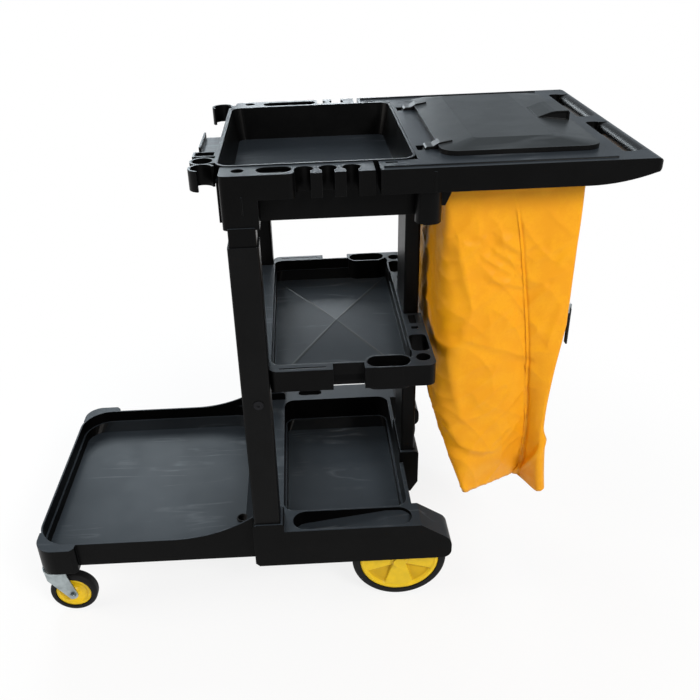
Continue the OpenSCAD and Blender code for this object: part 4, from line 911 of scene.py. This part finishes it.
# %% Slack, gathers, seam and dog ear
gather_high, gather_fade, ear_top = 0.0022, 0.16, 0.41
seam_high, seam_deep, seam_wide = 0.0026, 0.0024, 0.0020


def panel_slack(x, y, z, calm):
    slack = 0.0030 * noise.noise(Vector((x * 5.0, y * 5.0, z * 4.0)))
    slack += 0.0012 * noise.noise(Vector((x * 15.0 + 7, y * 15.0, z * 11.0)))
    for turn, amount in ((0.7, 0.0028), (-0.9, 0.0021)):
        run = (x + y) * math.cos(turn) + z * math.sin(turn)
        cross = z * math.cos(turn) - (x + y) * math.sin(turn)
        line = 1 - abs(noise.noise(Vector((run * 7.0, cross * 21.0, turn * 9))))
        slack += calm * amount * (line ** 8 - 0.2)
    return slack


def hem_gather(along, z):
    gather = gather_high * math.sin(along * 70 + 2 * noise.noise(Vector((along * 9, z * 3, 1.7))))
    return gather * math.exp(-(bag_top - z) / gather_fade)


def seam_lift(x, z, crease):
    wave = 0.003 * noise.noise(Vector((z * 9, 0.3, 0.0)))
    seam = (x - crease - wave) / seam_wide
    return seam_high * math.exp(-seam * seam) - seam_deep * math.exp(-(seam - 1.9) ** 2)


def ear_lift(x, z):
    inside = -line_distance(x * mm, z * mm, dog_ear)
    low = ease(ear_top - z, 0.0, 0.05)
    return low * (0.005 * ease(inside, -3, 5) + 0.0025 * math.exp(-((inside - 4) / 3) ** 2))


print("gather at the hem:", round(hem_gather(bag_mid, bag_top), 5))

# %% Crumple of one point
zip_lo, zip_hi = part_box("zip_tape")
zip_y = (zip_lo[1] + zip_hi[1]) / 2
flat_panel_calm = 1.3


def crumple(x, y, z, panel):
    back, crease = bag_lines(z)[1:3]
    on_side = panel == "side"
    calm = ease(back - x, 0.0, 0.04) if on_side else flat_panel_calm
    lift = panel_slack(x, y, z, calm) + hem_gather(x if on_side else y, z)
    if on_side:
        lift += calm * fold_lift(x, z, near_folds if y < 0 else far_folds)
        lift += seam_lift(x, z, crease)
        if y < 0 and x > crease:
            lift += ear_lift(x, z)
    if panel == "back":
        lift *= ease(abs(y - zip_y), 0.016, 0.05)
    return lift * ease(bag_top - z, 0.005, 0.10)


print("crumple at mid side:", round(crumple(bag_mid, -bag_half, 0.6, "side"), 5))

# %% [markdown]
# ## Lofting the shell
# Each ring is pushed out along its own normal by the crumple, the rings are joined with quads, and the
# foot is closed with smaller rings. A solidify modifier then gives the cloth its thickness inwards, so
# the outside stays where the rings are.

# %% Rings of the bag
hem_rows, side_rows, floor_rise, foot_sway = 6, 170, 0.004, 0.005


def outward(ring, i):
    ax, ay = ring[i - 1][:2]
    bx, by = ring[(i + 1) % len(ring)][:2]
    length = math.hypot(bx - ax, by - ay) or 1.0
    return (by - ay) / length, -(bx - ax) / length


def full_ring(z):
    near = half_ring(z)
    far = [(x, -y, panel) for x, y, panel in near[1:-1]]
    return near + far[::-1]


def bag_rows():
    rows = [bag_mouth - (bag_mouth - bag_top) * i / hem_rows for i in range(hem_rows)]
    floor_z = bag_foot + floor_rise
    return rows + [bag_top - (bag_top - floor_z) * i / side_rows for i in range(side_rows + 1)]


def crumpled_ring(z):
    ring = full_ring(z)
    sway = foot_sway * ease(drop(z), 0.9, 1.0)
    for i, (x, y, panel) in enumerate(ring):
        nx, ny = outward(ring, i)
        push = crumple(x, y, z, panel)
        rise = sway * (0.5 + 0.5 * noise.noise(Vector((x * 11, y * 11, 5.0))))
        yield x + nx * push, y + ny * push, z + rise


print("rings down the bag:", len(bag_rows()))

# %% Loft the bag
cloth_thick, floor_shift = 0.0016, 0.03
floor_shrinks = (0.985, 0.94, 0.8, 0.6, 0.4, 0.2)


def loft_bag():
    points = [point for z in bag_rows() for point in crumpled_ring(z)]
    size = len(full_ring(bag_foot))
    foot_edge = points[-size:]
    heart = Vector((bag_mid + floor_shift, 0.0, bag_foot + floor_rise))
    for shrink in floor_shrinks:
        for edge in foot_edge:
            spot = heart + (Vector(edge) - heart) * shrink
            spot.z = bag_foot + 0.0005 + floor_rise * (1 - shrink)
            points.append(tuple(spot))
    rings = len(points) // size
    faces = []
    for r in range(rings - 1):
        for i in range(size):
            j = (i + 1) % size
            faces.append((r * size + i, (r + 1) * size + i, (r + 1) * size + j, r * size + j))
    points.append(tuple(heart))
    inner = (rings - 1) * size
    faces += [(inner + i, len(points) - 1, inner + (i + 1) % size) for i in range(size)]
    return points, faces


bag_shell = new_piece("bag_shell", *loft_bag(), finishes["bag_vinyl"], "cart")
cloth = bag_shell.modifiers.new("cloth_thickness", "SOLIDIFY")
cloth.thickness = cloth_thick
cloth.offset = -1.0
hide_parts("bag", "bag_hem")
print("bag shell:", len(bag_shell.data.vertices), "points")

# %% [markdown]
# ## Stitching
# The hem is held by a row of stitches below the eyelets. Each stitch is a short thread that dips into the
# cloth at both ends. One function lays a row along any line of points with outward directions.

# %% Stitches
thread_sides = 6
stitch_shape = ((-0.5, 0.0, 0.5), (-0.3, 0.8, 1.0), (0.3, 0.8, 1.0), (0.5, 0.0, 0.5))
stitch_points = thread_sides * len(stitch_shape)


def stitch_row(line, length, thread):
    points, faces = [], []
    for centre, along, out in line:
        side = along.cross(out)
        base = len(points)
        for step, lift, fat in stitch_shape:
            for k in range(thread_sides):
                a = math.pi / 3 * k
                raised = out * (thread * (lift * 0.5 + fat * 0.5 * math.sin(a)))
                spot = centre + along * (step * length) + raised
                points.append(tuple(spot + side * (thread * fat * 0.5 * math.cos(a))))
        for r in range(len(stitch_shape) - 1):
            faces += band(r, r + 1, thread_sides, base)
        faces.append(tuple(base + k for k in reversed(range(thread_sides))))
        faces.append(tuple(base + k for k in range(stitch_points - thread_sides, stitch_points)))
    return points, faces


print("points in a stitch:", stitch_points)

# %% Hem stitches
hem_stitch_up, hem_stitch_gap = 0.006, 0.0065


def walk_ring(z, gap):
    ring = full_ring(z)
    ring.append(ring[0])
    spare = 0.0
    for (ax, ay, _), (bx, by, _) in zip(ring, ring[1:]):
        length = math.hypot(bx - ax, by - ay)
        along = Vector((bx - ax, by - ay, 0)) / max(length, 1e-9)
        while spare < length:
            yield Vector((ax, ay, z)) + along * spare, along, Vector((along.y, -along.x, 0))
            spare += gap
        spare -= length


points, faces = stitch_row(walk_ring(bag_top + hem_stitch_up, hem_stitch_gap), length=0.0048, thread=0.0009)
hem_stitches = new_piece("hem_stitches", points, faces, finishes["bag_vinyl"], "cart")
print("hem stitches:", len(hem_stitches.data.vertices) // stitch_points)

# %% [markdown]
# ## The zip
# A zip runs down the back of the bag, close to the near side. The solid model keeps it as a tape with a
# rib. Here it gets a woven tape with a raised welt, two rows of sewing, and teeth set left and right in
# turn. The slider and its pull are solid pieces already and move on their own joints.

# %% Zip tape
tape_across = [-1.0, -0.97, -0.86, -0.6, -0.36, -0.28, 0.28, 0.36, 0.6, 0.86, 0.97, 1.0]
tape_rise = [0.0, 0.0007, 0.0007, 0.0007, 0.0008, 0.0012, 0.0012, 0.0008, 0.0007, 0.0007, 0.0007, 0.0]
tape_rows, tape_gap = 120, 0.0001
zip_wide, zip_long = zip_hi[1] - zip_lo[1], zip_hi[2] - zip_lo[2]


def zip_x(z):
    return bag_lines(z)[1]


def zip_tape_mesh():
    points, faces = [], []
    for r in range(tape_rows + 1):
        z = zip_hi[2] - zip_long * r / tape_rows
        for across, rise in zip(tape_across, tape_rise):
            points.append((zip_x(z) + tape_gap + rise, zip_y + zip_wide / 2 * across, z))
    wide = len(tape_across)
    for r in range(tape_rows):
        for c in range(wide - 1):
            a = r * wide + c
            faces.append((a, a + wide, a + wide + 1, a + 1))
    return points, faces


zip_cloth = new_piece("zip_cloth", *zip_tape_mesh(), finishes["zip_black"], "cart")
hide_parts("zip_tape")
print("zip tape rows:", len(zip_cloth.data.vertices) // len(tape_across))

# %% Zip teeth
zip_margin = 0.004
tooth_pitch, tooth_wide, tooth_deep, tooth_half_high, tooth_stagger = 0.0024, 0.0030, 0.0011, 0.00085, 0.0007
tooth_shape = ((1.0, 0.0), (0.95, tooth_deep * 0.7), (0.7, tooth_deep))
tooth_corners = ((-1, -1), (1, -1), (1, 1), (-1, 1))
tooth_foot = 0.0011


def zip_teeth_mesh():
    points, faces = [], []
    for n in range(int((zip_long - 2 * zip_margin) / tooth_pitch)):
        z = zip_lo[2] + zip_margin + tooth_pitch * n
        mid = zip_y + (tooth_stagger if n % 2 else -tooth_stagger)
        base = len(points)
        for grow, out in tooth_shape:
            for sy, sz in tooth_corners:
                y = mid + sy * tooth_wide / 2 * grow
                points.append((zip_x(z) + tooth_foot + out, y, z + sz * tooth_half_high * grow))
        for r in (0, 1):
            faces += band(r, r + 1, 4, base)
        faces.append(tuple(base + 8 + k for k in range(4)))
        faces.append(tuple(base + k for k in (3, 2, 1, 0)))
    return points, faces


zip_teeth = new_piece("zip_teeth", *zip_teeth_mesh(), finishes["post_plastic"], "cart")
print("teeth:", len(zip_teeth.data.vertices) // 12)

# %% Zip sewing
sewing_share, sewing_rise, sewing_gap = 0.38, 0.0007, 0.0042


def zip_sewing():
    z = zip_lo[2] + zip_margin
    while z < zip_hi[2] - zip_margin:
        for side in (-1, 1):
            y = zip_y + side * zip_wide * sewing_share
            yield Vector((zip_x(z) + sewing_rise, y, z)), Vector((0, 0, 1)), Vector((1, 0, 0))
        z += sewing_gap


points, faces = stitch_row(zip_sewing(), length=0.0032, thread=0.0007)
zip_thread = new_piece("zip_thread", points, faces, finishes["zip_black"], "cart")
print("zip stitches:", len(zip_thread.data.vertices) // stitch_points)

# %% [markdown]
# The dressed cart has to stay the size of its solids. Both boxes are printed so that they can be set
# side by side.

# %% Sizes and finish
dressed_box = [list(corner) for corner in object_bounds()]
print("dressed box:", [[round(v, 4) for v in corner] for corner in dressed_box])
